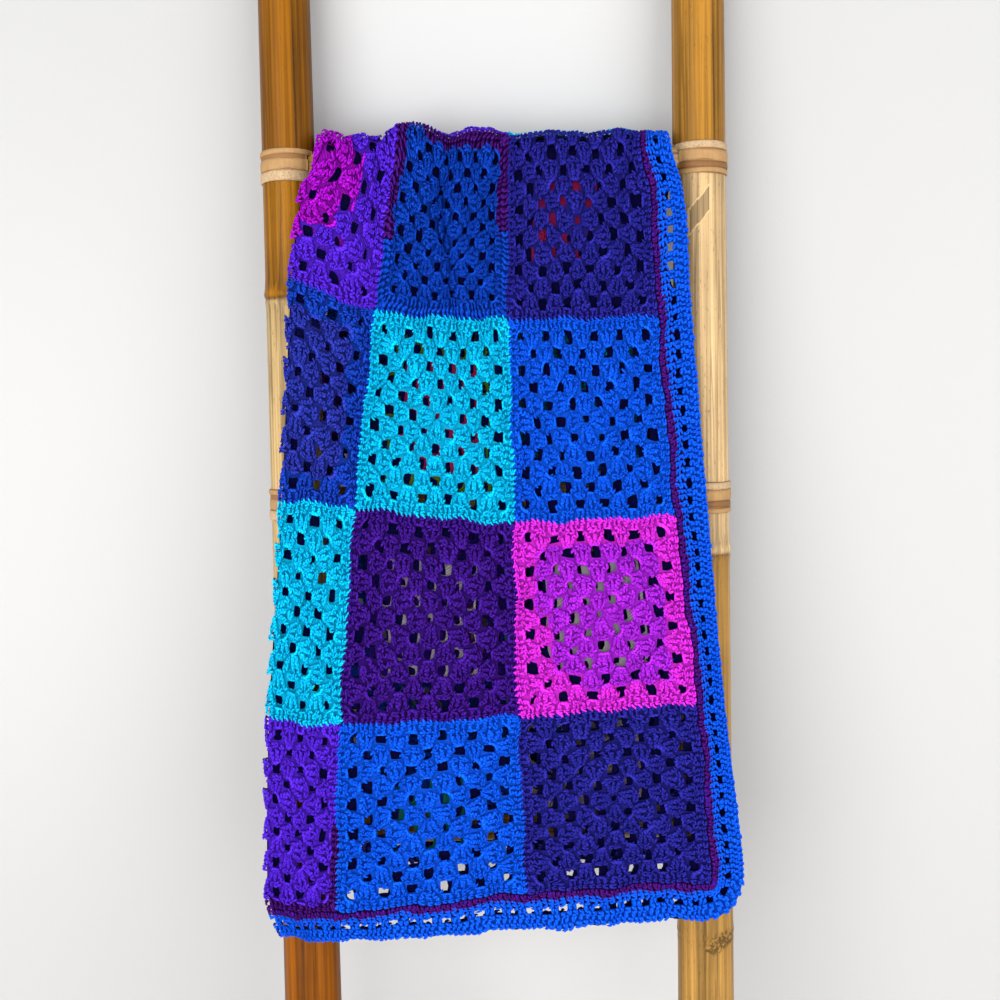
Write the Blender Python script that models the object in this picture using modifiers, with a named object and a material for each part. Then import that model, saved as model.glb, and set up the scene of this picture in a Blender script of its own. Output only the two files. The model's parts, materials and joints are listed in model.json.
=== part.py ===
"""A granny square blanket, folded double down its length and hung over the top rung of a bamboo
ladder that leans on a wall.

Metres, +Z up. X runs along the rungs, -Y is the front and the wall is past the back, at +Y.
The ladder is worked out in its own plane first: x along the rungs, "out" square to the plane and
towards the front, "up" along the rails from the floor.
"""

import math

import bmesh
import bpy
from mathutils import Matrix, Vector

# ---------------------------------------------------------------- ladder
LEAN = math.radians(7.0)        # how far the rails lean back from upright
RAIL_LENGTH = 1.70
RAIL_SPACING = 0.3506           # between the axes of the rails
RAIL_SIDES = 14
RAIL_RADII = {"left": (0.0275, 0.0215), "right": (0.0268, 0.0218)}      # foot, top
RAIL_KNOTS = {                  # heights of the bamboo's own nodes
    "left": (0.070, 0.400, 0.730, 1.060, 1.383),
    "right": (0.139, 0.478, 0.818, 1.157),
}
KNOT_HEIGHT = 0.0016
KNOT_REACH = 0.010

RUNG_COUNT = 5
RUNG_PITCH = 0.287
RUNG_TOP = 1.490                # height of the top rung, along the rails
RUNG_RADIUS = 0.014
RUNG_SIDES = 12
RUNG_KNOTS = (0.035, -0.060, 0.052, -0.028, 0.071)      # one node on each rung, from its middle

WRAP_TALL = 0.028               # cane wrapped round each joint
WRAP_THICK = 0.0022
WRAP_GROOVE = 0.0008
WRAP_TURNS = 3

FIT = 0.0003                    # gap between pieces that touch
CUTTER_LENGTH = 0.060           # from the rail's axis in, when it is cut for a rung
FLOOR_CUTTER = 0.200            # side of the block that cuts a foot level

# ---------------------------------------------------------------- blanket, laid flat
SQUARE = 0.160
COLUMNS = 5
ROWS = 8
EDGING = 0.030
THICK = 0.003
SEAM_GAP = 0.0013               # between the joined squares and the edging
LOOP = SQUARE / 12.0            # half the distance from hole to hole in a square
HOLE = 0.0092
HOLE_STEPS = (-4, 0, 4)         # hole rows and columns of a square, in loops from its middle
EDGING_HOLES = (0.0130, 0.0180) # from and to, in from the edge
CORNER_TURNS = EDGING           # radius of the blanket's outer corners
FOLD_COLUMNS = (-1.0, -0.5, 0.0, 0.5, 1.0)      # grid lines round the fold, in quarter turns
RUNG_ROWS = (-1.28, -0.48, -0.24, 0.0, 0.24, 0.48, 1.28)        # and over the rung

WIDE = COLUMNS * SQUARE + 2 * EDGING
LONG = ROWS * SQUARE + 2 * EDGING
FOLD = WIDE / 2                 # the fold runs down the middle of the middle squares

# ---------------------------------------------------------------- blanket, hung
CLEAR = 0.0023                  # between the cloth and what it hangs over
LAYERS = 0.006                  # from the middle of one layer to the middle of the other
INNER_WIDTH = 0.972             # the inner layer stops a little short of the outer one
DRAPE_RADIUS = RUNG_RADIUS + CLEAR + (THICK + LAYERS) / 2
OVER_RAILS = 0.0115             # how much further out the front hangs where it crosses the rails
OVER_MIDDLE = 0.0050            # and between them, below the rung
RAILS_FROM = 0.100              # from the middle: where the cloth starts to rise to the rails
RAILS_RISE = 0.045              # and over what width it does
RAILS_LIFT_START = 0.25         # part of the turn over the rung before that rise starts
MIDDLE_REACH = 0.080            # length below the rung over which the middle comes forward
WAVE_FROM = 0.20                # length below the rung where the hem's waves start
WAVE_REACH = 0.45               # and over what length they grow

# Distances from the fold to the seams of the outer layer, laid flat.
ACROSS = (0.0, SQUARE / 2, 1.5 * SQUARE, 2.5 * SQUARE, 2.5 * SQUARE + EDGING)

# Where those seams hang. "flat" is the distance from the top of the rung in the flat blanket.
SIDEWAYS_FRONT = (
    # flat,   fold,   seam 1, seam 2, seam 3, edge
    (0.000, -0.1475, -0.0800, 0.0120, 0.1240, 0.1475),
    (0.030, -0.1475, -0.0810, 0.0120, 0.1245, 0.1480),
    (0.060, -0.1600, -0.0880, 0.0110, 0.1290, 0.1575),
    (0.160, -0.1725, -0.1020, 0.0096, 0.1345, 0.1635),
    (0.320, -0.1860, -0.1240, 0.0115, 0.1470, 0.1760),
    (0.480, -0.2020, -0.1410, 0.0120, 0.1645, 0.1880),
    (0.620, -0.2078, -0.1468, 0.0156, 0.1735, 0.2025),
    (0.645, -0.2050, -0.1460, 0.0160, 0.1740, 0.2030),
    (0.670, -0.1955, -0.1445, 0.0165, 0.1745, 0.2035),
)
SIDEWAYS_BACK = (
    # flat,   fold,   seam 1, seam 2, seam 3, edge
    (0.000, -0.1475, -0.0800, 0.0120, 0.1240, 0.1475),
    (0.120, -0.1475, -0.0830, 0.0100, 0.1250, 0.1475),
    (0.200, -0.1600, -0.0950, 0.0080, 0.1330, 0.1580),
    (0.320, -0.1750, -0.1120, 0.0060, 0.1400, 0.1680),
    (0.480, -0.1880, -0.1250, 0.0070, 0.1490, 0.1770),
    (0.670, -0.1960, -0.1330, 0.0100, 0.1560, 0.1850),
)
# How far along the drape those places hang, from the top of the rung: the yarn stretches.
DOWN_FRONT = (
    # flat,   fold,   seam 1, seam 2, seam 3, edge
    (0.000, 0.0000, 0.0000, 0.0000, 0.0000, 0.0000),
    (0.030, 0.0280, 0.0305, 0.0310, 0.0310, 0.0300),
    (0.060, 0.0540, 0.0600, 0.0625, 0.0625, 0.0605),
    (0.160, 0.1270, 0.1565, 0.1660, 0.1655, 0.1590),
    (0.320, 0.3135, 0.3215, 0.3370, 0.3335, 0.3330),
    (0.480, 0.4980, 0.5070, 0.5035, 0.4930, 0.4905),
    (0.640, 0.6625, 0.6705, 0.6580, 0.6480, 0.6460),
    (0.670, 0.6895, 0.6970, 0.6915, 0.6820, 0.6790),
)
DOWN_BACK = (
    # flat,   fold,   seam 1, seam 2, seam 3, edge
    (0.000, 0.0000, 0.0000, 0.0000, 0.0000, 0.0000),
    (0.160, 0.1590, 0.1630, 0.1650, 0.1640, 0.1610),
    (0.320, 0.3230, 0.3280, 0.3330, 0.3300, 0.3260),
    (0.480, 0.4850, 0.4900, 0.4960, 0.4920, 0.4870),
    (0.670, 0.6700, 0.6760, 0.6820, 0.6770, 0.6710),
)
# Humps where the width gathers on the rung.
GATHERS = (
    # middle,  half width, height, length down the front and the back
    (-0.0700, 0.0310, 0.0125, 0.190),
    (-0.0110, 0.0290, 0.0070, 0.200),
    (-0.1550, 0.0400, 0.0070, 0.130),
    (-0.1120, 0.0200, 0.0020, 0.110),
    (0.0560, 0.0280, 0.0018, 0.120),
    (0.1020, 0.0240, 0.0022, 0.110),
)
HEM_WAVE = 0.0030               # soft waves that grow towards the hem
HEM_WAVE_LENGTH = 0.135
HEM_WAVE_START = 0.030
NORMAL_STEP = 0.0005            # used to find which way the cloth faces

# ---------------------------------------------------------------- colours
MATERIALS = {
    # name: (color, roughness)
    "square_yarn": ((0.05, 0.09, 0.45), 0.90),
    "edging_yarn": ((0.01, 0.10, 0.60), 0.90),
    "bamboo_pole": ((0.55, 0.34, 0.12), 0.35),
    "bamboo_rung": ((0.60, 0.42, 0.20), 0.40),
    "cane_wrap": ((0.72, 0.58, 0.36), 0.50),
}


# ---------------------------------------------------------------- curves
def ease(value):
    value = min(max(value, 0.0), 1.0)
    return value * value * (3.0 - 2.0 * value)


def smooth_curve(places, values, at):
    """A smooth curve through values at rising places."""
    last = len(places) - 1
    at = min(max(at, places[0]), places[last])
    span = next(i for i in range(last) if at <= places[i + 1])
    slopes = []
    for i in (span, span + 1):
        low, high = max(i - 1, 0), min(i + 1, last)
        slopes.append((values[high] - values[low]) / (places[high] - places[low]))
    step = places[span + 1] - places[span]
    part = (at - places[span]) / step
    near, far = values[span], values[span + 1]
    rise = far - near
    bend = part * (1 - part) * step * (slopes[0] * (1 - part) - slopes[1] * part)
    return near + rise * part + bend + part * (1 - part) * (2 * part - 1) * rise


def from_table(table, flat, across):
    flats = [row[0] for row in table]
    at_seams = [
        smooth_curve(flats, [row[column] for row in table], flat)
        for column in range(1, len(ACROSS) + 1)
    ]
    return smooth_curve(ACROSS, at_seams, across)


# ---------------------------------------------------------------- places
def in_world(x, out, up):
    """A place given in the ladder's plane."""
    return Vector((
        x,
        up * math.sin(LEAN) - out * math.cos(LEAN),
        up * math.cos(LEAN) + out * math.sin(LEAN),
    ))


def gather_height(x, along):
    total = 0.0
    for middle, half, height, length in GATHERS:
        across = 1.0 - ease(abs(x - middle) / half)
        total += height * across * (1.0 - ease(abs(along) / length))
    return total


def stand_off(x, along):
    """How much further out than the drape's own radius the cloth hangs."""
    total = gather_height(x, along)
    if along > 0:
        quarter = DRAPE_RADIUS * math.pi / 2
        over = ease((abs(x) - RAILS_FROM) / RAILS_RISE)
        total += over * OVER_RAILS * ease(along / quarter - RAILS_LIFT_START)
        total += (1.0 - over) * OVER_MIDDLE * ease((along - quarter) / MIDDLE_REACH)
        wave = HEM_WAVE * math.sin(math.tau * (x - HEM_WAVE_START) / HEM_WAVE_LENGTH)
        total += (wave + HEM_WAVE) * ease((along - WAVE_FROM) / WAVE_REACH)
    return total


def drape(x, along):
    """The middle of the folded cloth: over the rung, down the front on the rails' slope and
    straight down behind. "along" counts from the top of the rung, front positive."""
    turn = math.pi / 2 if along > 0 else math.pi / 2 - LEAN
    angle = min(abs(along) / DRAPE_RADIUS, turn)
    straight = abs(along) - angle * DRAPE_RADIUS
    angle = math.copysign(angle, along)
    away = DRAPE_RADIUS + stand_off(x, along)
    out = away * math.sin(angle) + straight * math.cos(angle) * math.copysign(1, along)
    up = away * math.cos(angle) - straight * abs(math.sin(angle))
    return in_world(x, out, RUNG_TOP + up)


def drape_normal(x, along):
    sideways = drape(x + NORMAL_STEP, along) - drape(x - NORMAL_STEP, along)
    down = drape(x, along + NORMAL_STEP) - drape(x, along - NORMAL_STEP)
    return down.cross(sideways).normalized()


def hang(across, length):
    """Where a place in the flat blanket hangs."""
    from_fold = abs(across - FOLD)
    outer = across >= FOLD
    from_rung = LONG / 2 - length
    front = from_rung >= 0
    sideways, down = (SIDEWAYS_FRONT, DOWN_FRONT) if front else (SIDEWAYS_BACK, DOWN_BACK)
    flat = abs(from_rung)
    along = math.copysign(from_table(down, flat, from_fold), from_rung)
    edge = from_table(sideways, flat, 0.0)
    radius = LAYERS / 2
    bend = radius * math.pi / 2
    if from_fold < bend:
        angle = from_fold / radius
        x = edge + radius * (1 - math.cos(angle))
        layer = radius * math.sin(angle)
    else:
        slack = from_table(sideways, flat, bend) - edge - radius
        x = from_table(sideways, flat, from_fold) - slack * (1 - ease(from_fold / ACROSS[1]))
        layer = radius
    if not outer:
        x = edge + (x - edge) * INNER_WIDTH
        layer = -layer
    return drape(x, along) + drape_normal(x, along) * layer


# ---------------------------------------------------------------- building
def clear_scene():
    for thing in list(bpy.data.objects):
        bpy.data.objects.remove(thing, do_unlink=True)


def make_collection(name):
    collection = bpy.data.collections.new(name)
    bpy.context.scene.collection.children.link(collection)
    return collection


def make_material(name):
    color, roughness = MATERIALS[name]
    material = bpy.data.materials.new(name)
    material.use_nodes = True
    shader = material.node_tree.nodes["Principled BSDF"]
    shader.inputs["Base Color"].default_value = (*color, 1.0)
    shader.inputs["Roughness"].default_value = roughness
    shader.inputs["Metallic"].default_value = 0.0
    return material


def add_object(name, mesh, collection, parent=None, material=None):
    thing = bpy.data.objects.new(name, mesh)
    collection.objects.link(thing)
    thing.parent = parent
    if material:
        mesh.materials.append(material)
    return thing


def turned(name, profile, sides, collection, parent, material):
    """A closed turned solid. The profile is (radius, height) from the top of its outer side
    down, and both ends lie on the axis."""
    mesh = bpy.data.meshes.new(name)
    points = [(radius, 0.0, height) for radius, height in profile]
    mesh.from_pydata(points, [(i, i + 1) for i in range(len(points) - 1)], [])
    thing = add_object(name, mesh, collection, parent, material)
    screw = thing.modifiers.new("turn", "SCREW")
    screw.steps = screw.render_steps = sides
    screw.use_merge_vertices = True
    screw.merge_threshold = 0.00001
    screw.use_smooth_shade = True
    return thing


def cut(thing, cutter):
    cutter.hide_render = True
    cutter.display_type = "WIRE"
    boolean = thing.modifiers.new("cut", "BOOLEAN")
    boolean.operation = "DIFFERENCE"
    boolean.solver = "EXACT"
    boolean.object = cutter


def rung_heights():
    return [RUNG_TOP - RUNG_PITCH * i for i in reversed(range(RUNG_COUNT))]


def rail_radius(side, height):
    foot, top = RAIL_RADII[side]
    return foot + (top - foot) * height / RAIL_LENGTH


def add_rail(side, x, collection, cutters, parent, material):
    below = -2 * max(RAIL_RADII[side]) * math.tan(LEAN)
    profile = [(0.0, RAIL_LENGTH), (rail_radius(side, RAIL_LENGTH), RAIL_LENGTH)]
    for knot in reversed(RAIL_KNOTS[side]):
        profile.append((rail_radius(side, knot + KNOT_REACH), knot + KNOT_REACH))
        profile.append((rail_radius(side, knot) + KNOT_HEIGHT, knot))
        profile.append((rail_radius(side, knot - KNOT_REACH), knot - KNOT_REACH))
    profile += [(rail_radius(side, 0.0), below), (0.0, below)]
    rail = turned(f"rail_{side}", profile, RAIL_SIDES, collection, parent, material)
    rail.location = in_world(x, 0.0, 0.0)
    rail.rotation_euler = (-LEAN, 0.0, 0.0)
    for number, height in enumerate(rung_heights(), 1):
        socket = rung_cutter(f"socket_{side}_{number}", x, height, cutters, parent)
        cut(rail, socket)
    mesh = bpy.data.meshes.new("floor_cutter")
    shape = bmesh.new()
    bmesh.ops.create_cube(shape, size=FLOOR_CUTTER)
    shape.to_mesh(mesh)
    shape.free()
    floor = add_object(f"floor_cutter_{side}", mesh, cutters, parent)
    floor.location = (x, 0.0, -FLOOR_CUTTER / 2)
    cut(rail, floor)


def rung_cutter(name, rail_x, height, cutters, parent):
    """A cylinder from the rail's axis inwards, a little wider than the rung."""
    mesh = bpy.data.meshes.new(name)
    shape = bmesh.new()
    bmesh.ops.create_cone(
        shape, cap_ends=True, segments=RUNG_SIDES, radius1=RUNG_RADIUS + FIT,
        radius2=RUNG_RADIUS + FIT, depth=CUTTER_LENGTH,
        matrix=Matrix.Rotation(math.pi / 2, 4, "Y"),
    )
    shape.to_mesh(mesh)
    shape.free()
    cutter = add_object(name, mesh, cutters, parent)
    inwards = -math.copysign(1, rail_x)
    cutter.location = in_world(rail_x + inwards * CUTTER_LENGTH / 2, 0.0, height)
    cutter.rotation_euler = (-LEAN, 0.0, 0.0)
    return cutter


def add_rung(number, height, knot, collection, parent, material):
    end = RAIL_SPACING / 2 - FIT
    profile = [
        (0.0, end),
        (RUNG_RADIUS, end),
        (RUNG_RADIUS, knot + KNOT_REACH),
        (RUNG_RADIUS + KNOT_HEIGHT / 2, knot),
        (RUNG_RADIUS, knot - KNOT_REACH),
        (RUNG_RADIUS, -end),
        (0.0, -end),
    ]
    rung = turned(f"rung_{number}", profile, RUNG_SIDES, collection, parent, material)
    rung.matrix_local = (
        Matrix.Translation(in_world(0.0, 0.0, height))
        @ Matrix.Rotation(-LEAN, 4, "X")
        @ Matrix.Rotation(math.pi / 2, 4, "Y")
    )


def add_wrap(side, number, x, height, collection, cutters, parent, material):
    """Turns of cane round the rail, ending at the rung on both sides."""
    inside = rail_radius(side, height - WRAP_TALL / 2) + FIT
    outside = inside + WRAP_THICK
    bottom, top = -WRAP_TALL / 2, WRAP_TALL / 2
    profile = [(inside, top)]
    for step in range(2 * WRAP_TURNS + 1):
        groove = WRAP_GROOVE if step % 2 == 0 else 0.0
        profile.append((outside - groove, top - WRAP_TALL * step / (2 * WRAP_TURNS)))
    profile += [(inside, bottom), (inside, top)]
    mesh_name = f"wrap_{side}_{number}"
    wrap = turned(mesh_name, profile, RAIL_SIDES, collection, parent, material)
    wrap.location = in_world(x, 0.0, height)
    wrap.rotation_euler = (-LEAN, 0.0, 0.0)
    cut(wrap, rung_cutter(f"notch_{side}_{number}", x, height, cutters, parent))


def hole_middles(count):
    """Middles of the holes along one side of the joined squares."""
    return [
        EDGING + SQUARE * (square + 0.5) + LOOP * step
        for square in range(count)
        for step in HOLE_STEPS
    ]


def grid_lines(count, extra, without=None):
    """Lines of the flat sheet's grid: the edging's, both sides of each hole, and extra ones.
    A hole over the line "without" has no lines of its own."""
    whole = count * SQUARE + 2 * EDGING
    ends = [0.0, *EDGING_HOLES]
    lines = ends + [whole - end for end in ends]
    for middle in hole_middles(count):
        if without is None or abs(middle - without) > HOLE:
            lines += [middle - HOLE / 2, middle + HOLE / 2]
    return sorted(lines + extra)


def fold_lines():
    bend = LAYERS / 2 * math.pi / 2
    return [FOLD + bend * part for part in FOLD_COLUMNS]


def gather_lines():
    """Extra lines between the hole columns where the gathers are deepest."""
    seam = FOLD + SQUARE / 2
    return [seam, seam + 4 * LOOP, seam + 8 * LOOP]


def rung_lines():
    middle = LONG / 2
    quarter = DRAPE_RADIUS * math.pi / 2
    return [middle + quarter * part for part in RUNG_ROWS]


def add_sheet(name, columns, rows, keep, collection, parent, material):
    """A sheet over a grid of lines in the flat blanket, without the cells that are holes."""
    mesh = bpy.data.meshes.new(name)
    shape = bmesh.new()
    across, along = len(columns) - 1, len(rows) - 1
    bmesh.ops.create_grid(shape, x_segments=across, y_segments=along, size=0.5)
    cells = []
    for face in shape.faces:
        middle = face.calc_center_median()
        column = int((middle.x + 0.5) * across)
        row = int((middle.y + 0.5) * along)
        if not keep((columns[column] + columns[column + 1]) / 2, (rows[row] + rows[row + 1]) / 2):
            cells.append(face)
    bmesh.ops.delete(shape, geom=cells, context="FACES")
    for point in shape.verts:
        column = columns[round((point.co.x + 0.5) * across)]
        row = rows[round((point.co.y + 0.5) * along)]
        point.co = hang(*round_corner(column, row))
    shape.to_mesh(mesh)
    shape.free()
    sheet = add_object(name, mesh, collection, parent, material)
    solid = sheet.modifiers.new("thickness", "SOLIDIFY")
    solid.thickness = THICK
    solid.offset = 0.0
    solid.use_even_offset = True
    return sheet


def round_corner(column, row):
    """Turns the square corners of the edging into round ones."""
    if CORNER_TURNS <= column <= WIDE - CORNER_TURNS or CORNER_TURNS <= row <= LONG - CORNER_TURNS:
        return column, row
    center = Vector((
        CORNER_TURNS if column < FOLD else WIDE - CORNER_TURNS,
        CORNER_TURNS if row < LONG / 2 else LONG - CORNER_TURNS,
    ))
    away = Vector((column, row)) - center
    away = away.normalized() * max(abs(away.x), abs(away.y))
    return tuple(center + away)


def is_square_hole(across, length):
    """The corner holes and the middle hole of each square, but none on the fold."""
    places = []
    for value in (across, length):
        in_square = (value - EDGING) % SQUARE - SQUARE / 2
        places.append([abs(in_square - LOOP * step) < HOLE / 2 for step in HOLE_STEPS])
    column, row = places
    corner = (column[0] or column[2]) and (row[0] or row[2])
    middle = column[1] and row[1] and abs(across - FOLD) > HOLE
    return corner or middle


def is_edging_hole(across, length):
    for value, whole, other, count in (
        (across, WIDE, length, ROWS), (length, LONG, across, COLUMNS),
    ):
        inwards = min(value, whole - value)
        if not EDGING_HOLES[0] < inwards < EDGING_HOLES[1]:
            continue
        near = min(abs(other - middle) for middle in hole_middles(count))
        if near < HOLE / 2 and abs(other - FOLD) > HOLE:
            return True
    return False


def add_blanket(collection, parent):
    start = EDGING + SEAM_GAP / 2
    columns = grid_lines(COLUMNS, fold_lines() + gather_lines(), without=FOLD)
    rows = grid_lines(ROWS, rung_lines())
    squares_columns = [start] + [c for c in columns if start < c < WIDE - start] + [WIDE - start]
    squares_rows = [start] + [r for r in rows if start < r < LONG - start] + [LONG - start]
    add_sheet(
        "joined_squares", squares_columns, squares_rows,
        lambda across, length: not is_square_hole(across, length),
        collection, parent, make_material("square_yarn"),
    )
    inner = EDGING - SEAM_GAP / 2
    edging_columns = sorted(columns + [inner, WIDE - inner])
    edging_rows = sorted(rows + [inner, LONG - inner])

    def in_edging(across, length):
        inside = inner < across < WIDE - inner and inner < length < LONG - inner
        return not inside and not is_edging_hole(across, length)

    add_sheet(
        "edging", edging_columns, edging_rows, in_edging,
        collection, parent, make_material("edging_yarn"),
    )


def add_ladder(collection, cutters, parent):
    pole = make_material("bamboo_pole")
    stick = make_material("bamboo_rung")
    cane = make_material("cane_wrap")
    for side, sign in (("left", -1), ("right", 1)):
        x = sign * RAIL_SPACING / 2
        add_rail(side, x, collection, cutters, parent, pole)
        for number, height in enumerate(rung_heights(), 1):
            add_wrap(side, number, x, height, collection, cutters, parent, cane)
    for number, height in enumerate(rung_heights(), 1):
        add_rung(number, height, RUNG_KNOTS[number - 1], collection, parent, stick)


def center_over_origin(collection, root):
    """Moves everything so that the origin is under the middle of the whole, on the floor."""
    bpy.context.view_layer.update()
    graph = bpy.context.evaluated_depsgraph_get()
    made = [item.evaluated_get(graph) for item in collection.objects if item.type == "MESH"]
    points = [thing.matrix_world @ point.co for thing in made for point in thing.data.vertices]
    for axis in (0, 1):
        values = [point[axis] for point in points]
        root.location[axis] = -(min(values) + max(values)) / 2


def main():
    clear_scene()
    parts = make_collection("granny_square_blanket_on_ladder")
    cutters = make_collection("cutters")
    root = bpy.data.objects.new("root", None)
    parts.objects.link(root)
    add_blanket(parts, root)
    add_ladder(parts, cutters, root)
    center_over_origin(parts, root)
    bpy.context.view_layer.update()


main()
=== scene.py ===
"""Crochets a granny square blanket stitch by stitch, hangs it folded over the top rung of a
bamboo ladder, dresses the ladder and sets the stage."""

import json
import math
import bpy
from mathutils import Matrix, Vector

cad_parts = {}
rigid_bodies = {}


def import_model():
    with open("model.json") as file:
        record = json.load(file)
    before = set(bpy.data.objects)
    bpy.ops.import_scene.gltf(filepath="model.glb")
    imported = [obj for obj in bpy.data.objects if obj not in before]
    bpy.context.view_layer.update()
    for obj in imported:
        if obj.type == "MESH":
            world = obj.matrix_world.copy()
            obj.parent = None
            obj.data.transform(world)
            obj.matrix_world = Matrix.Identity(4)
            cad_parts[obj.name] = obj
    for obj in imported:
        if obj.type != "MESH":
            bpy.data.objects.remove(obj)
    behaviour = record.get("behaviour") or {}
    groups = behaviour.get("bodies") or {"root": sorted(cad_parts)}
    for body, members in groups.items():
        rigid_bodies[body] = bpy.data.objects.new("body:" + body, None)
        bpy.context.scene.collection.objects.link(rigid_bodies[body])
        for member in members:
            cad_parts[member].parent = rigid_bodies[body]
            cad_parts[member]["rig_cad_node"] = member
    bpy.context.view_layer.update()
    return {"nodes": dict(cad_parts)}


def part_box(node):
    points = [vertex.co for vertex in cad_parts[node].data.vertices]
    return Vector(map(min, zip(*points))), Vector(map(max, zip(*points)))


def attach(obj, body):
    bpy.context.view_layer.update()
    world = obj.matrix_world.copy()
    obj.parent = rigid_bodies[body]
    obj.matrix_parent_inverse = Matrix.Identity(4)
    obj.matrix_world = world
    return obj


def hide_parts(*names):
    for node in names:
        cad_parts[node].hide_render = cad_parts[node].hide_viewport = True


bl_info = {
    "name": "Granny square blanket on a bamboo ladder",
    "version": (1, 0, 0),
    "blender": (4, 5, 0),
    "location": "View3D > Sidebar > Blanket",
    "description": "Crochets the blanket, dresses the ladder that it hangs on and sets the stage",
    "category": "Object",
}

from functools import lru_cache

import bpy
import numpy as np
from bpy.props import FloatProperty, FloatVectorProperty, IntProperty, PointerProperty
from mathutils import Matrix, Vector

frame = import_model()

# ---------------------------------------------------------------- the frame's own places
LEAN = math.radians(7.0)
RUNG_LOW, RUNG_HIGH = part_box("rung_5")
RUNG_MIDDLE = (RUNG_LOW + RUNG_HIGH) / 2
RUNG_TOP = 1.490
RUNG_PITCH = 0.287
RUNG_RADIUS = 0.014
RAIL_SPACING = 0.3506
RAIL_LENGTH = 1.70

# ---------------------------------------------------------------- the blanket, laid flat
SQUARE = 0.160
COLUMNS = 5
ROWS = 8
EDGING = 0.030
LOOP = SQUARE / 12.0
ROUNDS = 5                      # of clusters, before the close last round
LAST_ROUND = ROUNDS + 1
WIDE = COLUMNS * SQUARE + 2 * EDGING
LONG = ROWS * SQUARE + 2 * EDGING
FOLD = WIDE / 2

# ---------------------------------------------------------------- the blanket, hung
THICK = 0.003
LAYERS = 0.006                  # between the middles of the two layers
INNER_WIDTH = 0.984             # of the outer layer's
ASKEW = (0.105, 0.075, 0.050)   # where the inner layer is pulled in, how far along, how much
CLEAR = 0.0023                  # between the rung and the cloth
DRAPE_RADIUS = RUNG_RADIUS + CLEAR + (THICK + LAYERS) / 2
OVER_RAILS = 0.0115             # how far the blanket stands off over the rails
OVER_MIDDLE = 0.0050            # and between them
# The flat places, from the fold on, of the columns in the four tables below.
ACROSS = np.array((0.0, SQUARE / 2, 1.5 * SQUARE, 2.5 * SQUARE, 2.5 * SQUARE + EDGING))

SIDEWAYS_FRONT = np.array((
    # flat,   fold,   seam 1, seam 2, seam 3, edge
    (0.000, -0.1475, -0.0800, 0.0120, 0.1240, 0.1475),
    (0.030, -0.1475, -0.0810, 0.0120, 0.1245, 0.1480),
    (0.060, -0.1600, -0.0880, 0.0110, 0.1290, 0.1575),
    (0.160, -0.1725, -0.1020, 0.0096, 0.1345, 0.1635),
    (0.320, -0.1860, -0.1240, 0.0115, 0.1470, 0.1760),
    (0.480, -0.2020, -0.1410, 0.0120, 0.1645, 0.1880),
    (0.620, -0.2078, -0.1468, 0.0156, 0.1735, 0.2025),
    (0.645, -0.2050, -0.1460, 0.0160, 0.1740, 0.2030),
    (0.670, -0.1955, -0.1445, 0.0165, 0.1745, 0.2035),
))
SIDEWAYS_BACK = np.array((
    # flat,   fold,   seam 1, seam 2, seam 3, edge
    (0.000, -0.1475, -0.0800, 0.0120, 0.1240, 0.1475),
    (0.120, -0.1475, -0.0830, 0.0100, 0.1250, 0.1475),
    (0.200, -0.1600, -0.0950, 0.0080, 0.1330, 0.1580),
    (0.320, -0.1750, -0.1120, 0.0060, 0.1400, 0.1680),
    (0.480, -0.1880, -0.1250, 0.0070, 0.1490, 0.1770),
    (0.670, -0.1960, -0.1330, 0.0100, 0.1560, 0.1850),
))
DOWN_FRONT = np.array((
    # flat,   fold,   seam 1, seam 2, seam 3, edge
    (0.000, 0.0000, 0.0000, 0.0000, 0.0000, 0.0000),
    (0.030, 0.0280, 0.0305, 0.0310, 0.0310, 0.0300),
    (0.060, 0.0540, 0.0600, 0.0625, 0.0625, 0.0605),
    (0.160, 0.1270, 0.1565, 0.1660, 0.1655, 0.1590),
    (0.320, 0.3135, 0.3215, 0.3370, 0.3335, 0.3330),
    (0.480, 0.4980, 0.5070, 0.5035, 0.4930, 0.4905),
    (0.640, 0.6625, 0.6705, 0.6580, 0.6480, 0.6460),
    (0.670, 0.6895, 0.6970, 0.6915, 0.6820, 0.6790),
))
DOWN_BACK = np.array((
    # flat,   fold,   seam 1, seam 2, seam 3, edge
    (0.000, 0.0000, 0.0000, 0.0000, 0.0000, 0.0000),
    (0.160, 0.1590, 0.1630, 0.1650, 0.1640, 0.1610),
    (0.320, 0.3230, 0.3280, 0.3330, 0.3300, 0.3260),
    (0.480, 0.4850, 0.4900, 0.4960, 0.4920, 0.4870),
    (0.670, 0.6700, 0.6760, 0.6820, 0.6770, 0.6710),
))
GATHERS = (
    # middle,  half width, height, length down the front and the back
    (-0.0700, 0.0310, 0.0125, 0.190),
    (-0.0110, 0.0290, 0.0070, 0.200),
    (-0.1550, 0.0400, 0.0070, 0.130),
    (-0.1120, 0.0200, 0.0020, 0.110),
    (0.0560, 0.0280, 0.0018, 0.120),
    (0.1020, 0.0240, 0.0022, 0.110),
)
HEM_WAVE = 0.0030       # half the height of the waves at the hem
HEM_WAVE_LENGTH = 0.135
HEM_WAVE_START = 0.030
WAVE_FROM = 0.20        # how far under the rung the waves begin, and over what length they grow
WAVE_REACH = 0.45
RAILS_FROM = 0.100      # where along the rung the rise over the rails begins
RAILS_RISE = 0.045
RAILS_LIFT_START = 0.25 # in quarter turns over the rung
MIDDLE_REACH = 0.080
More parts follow.
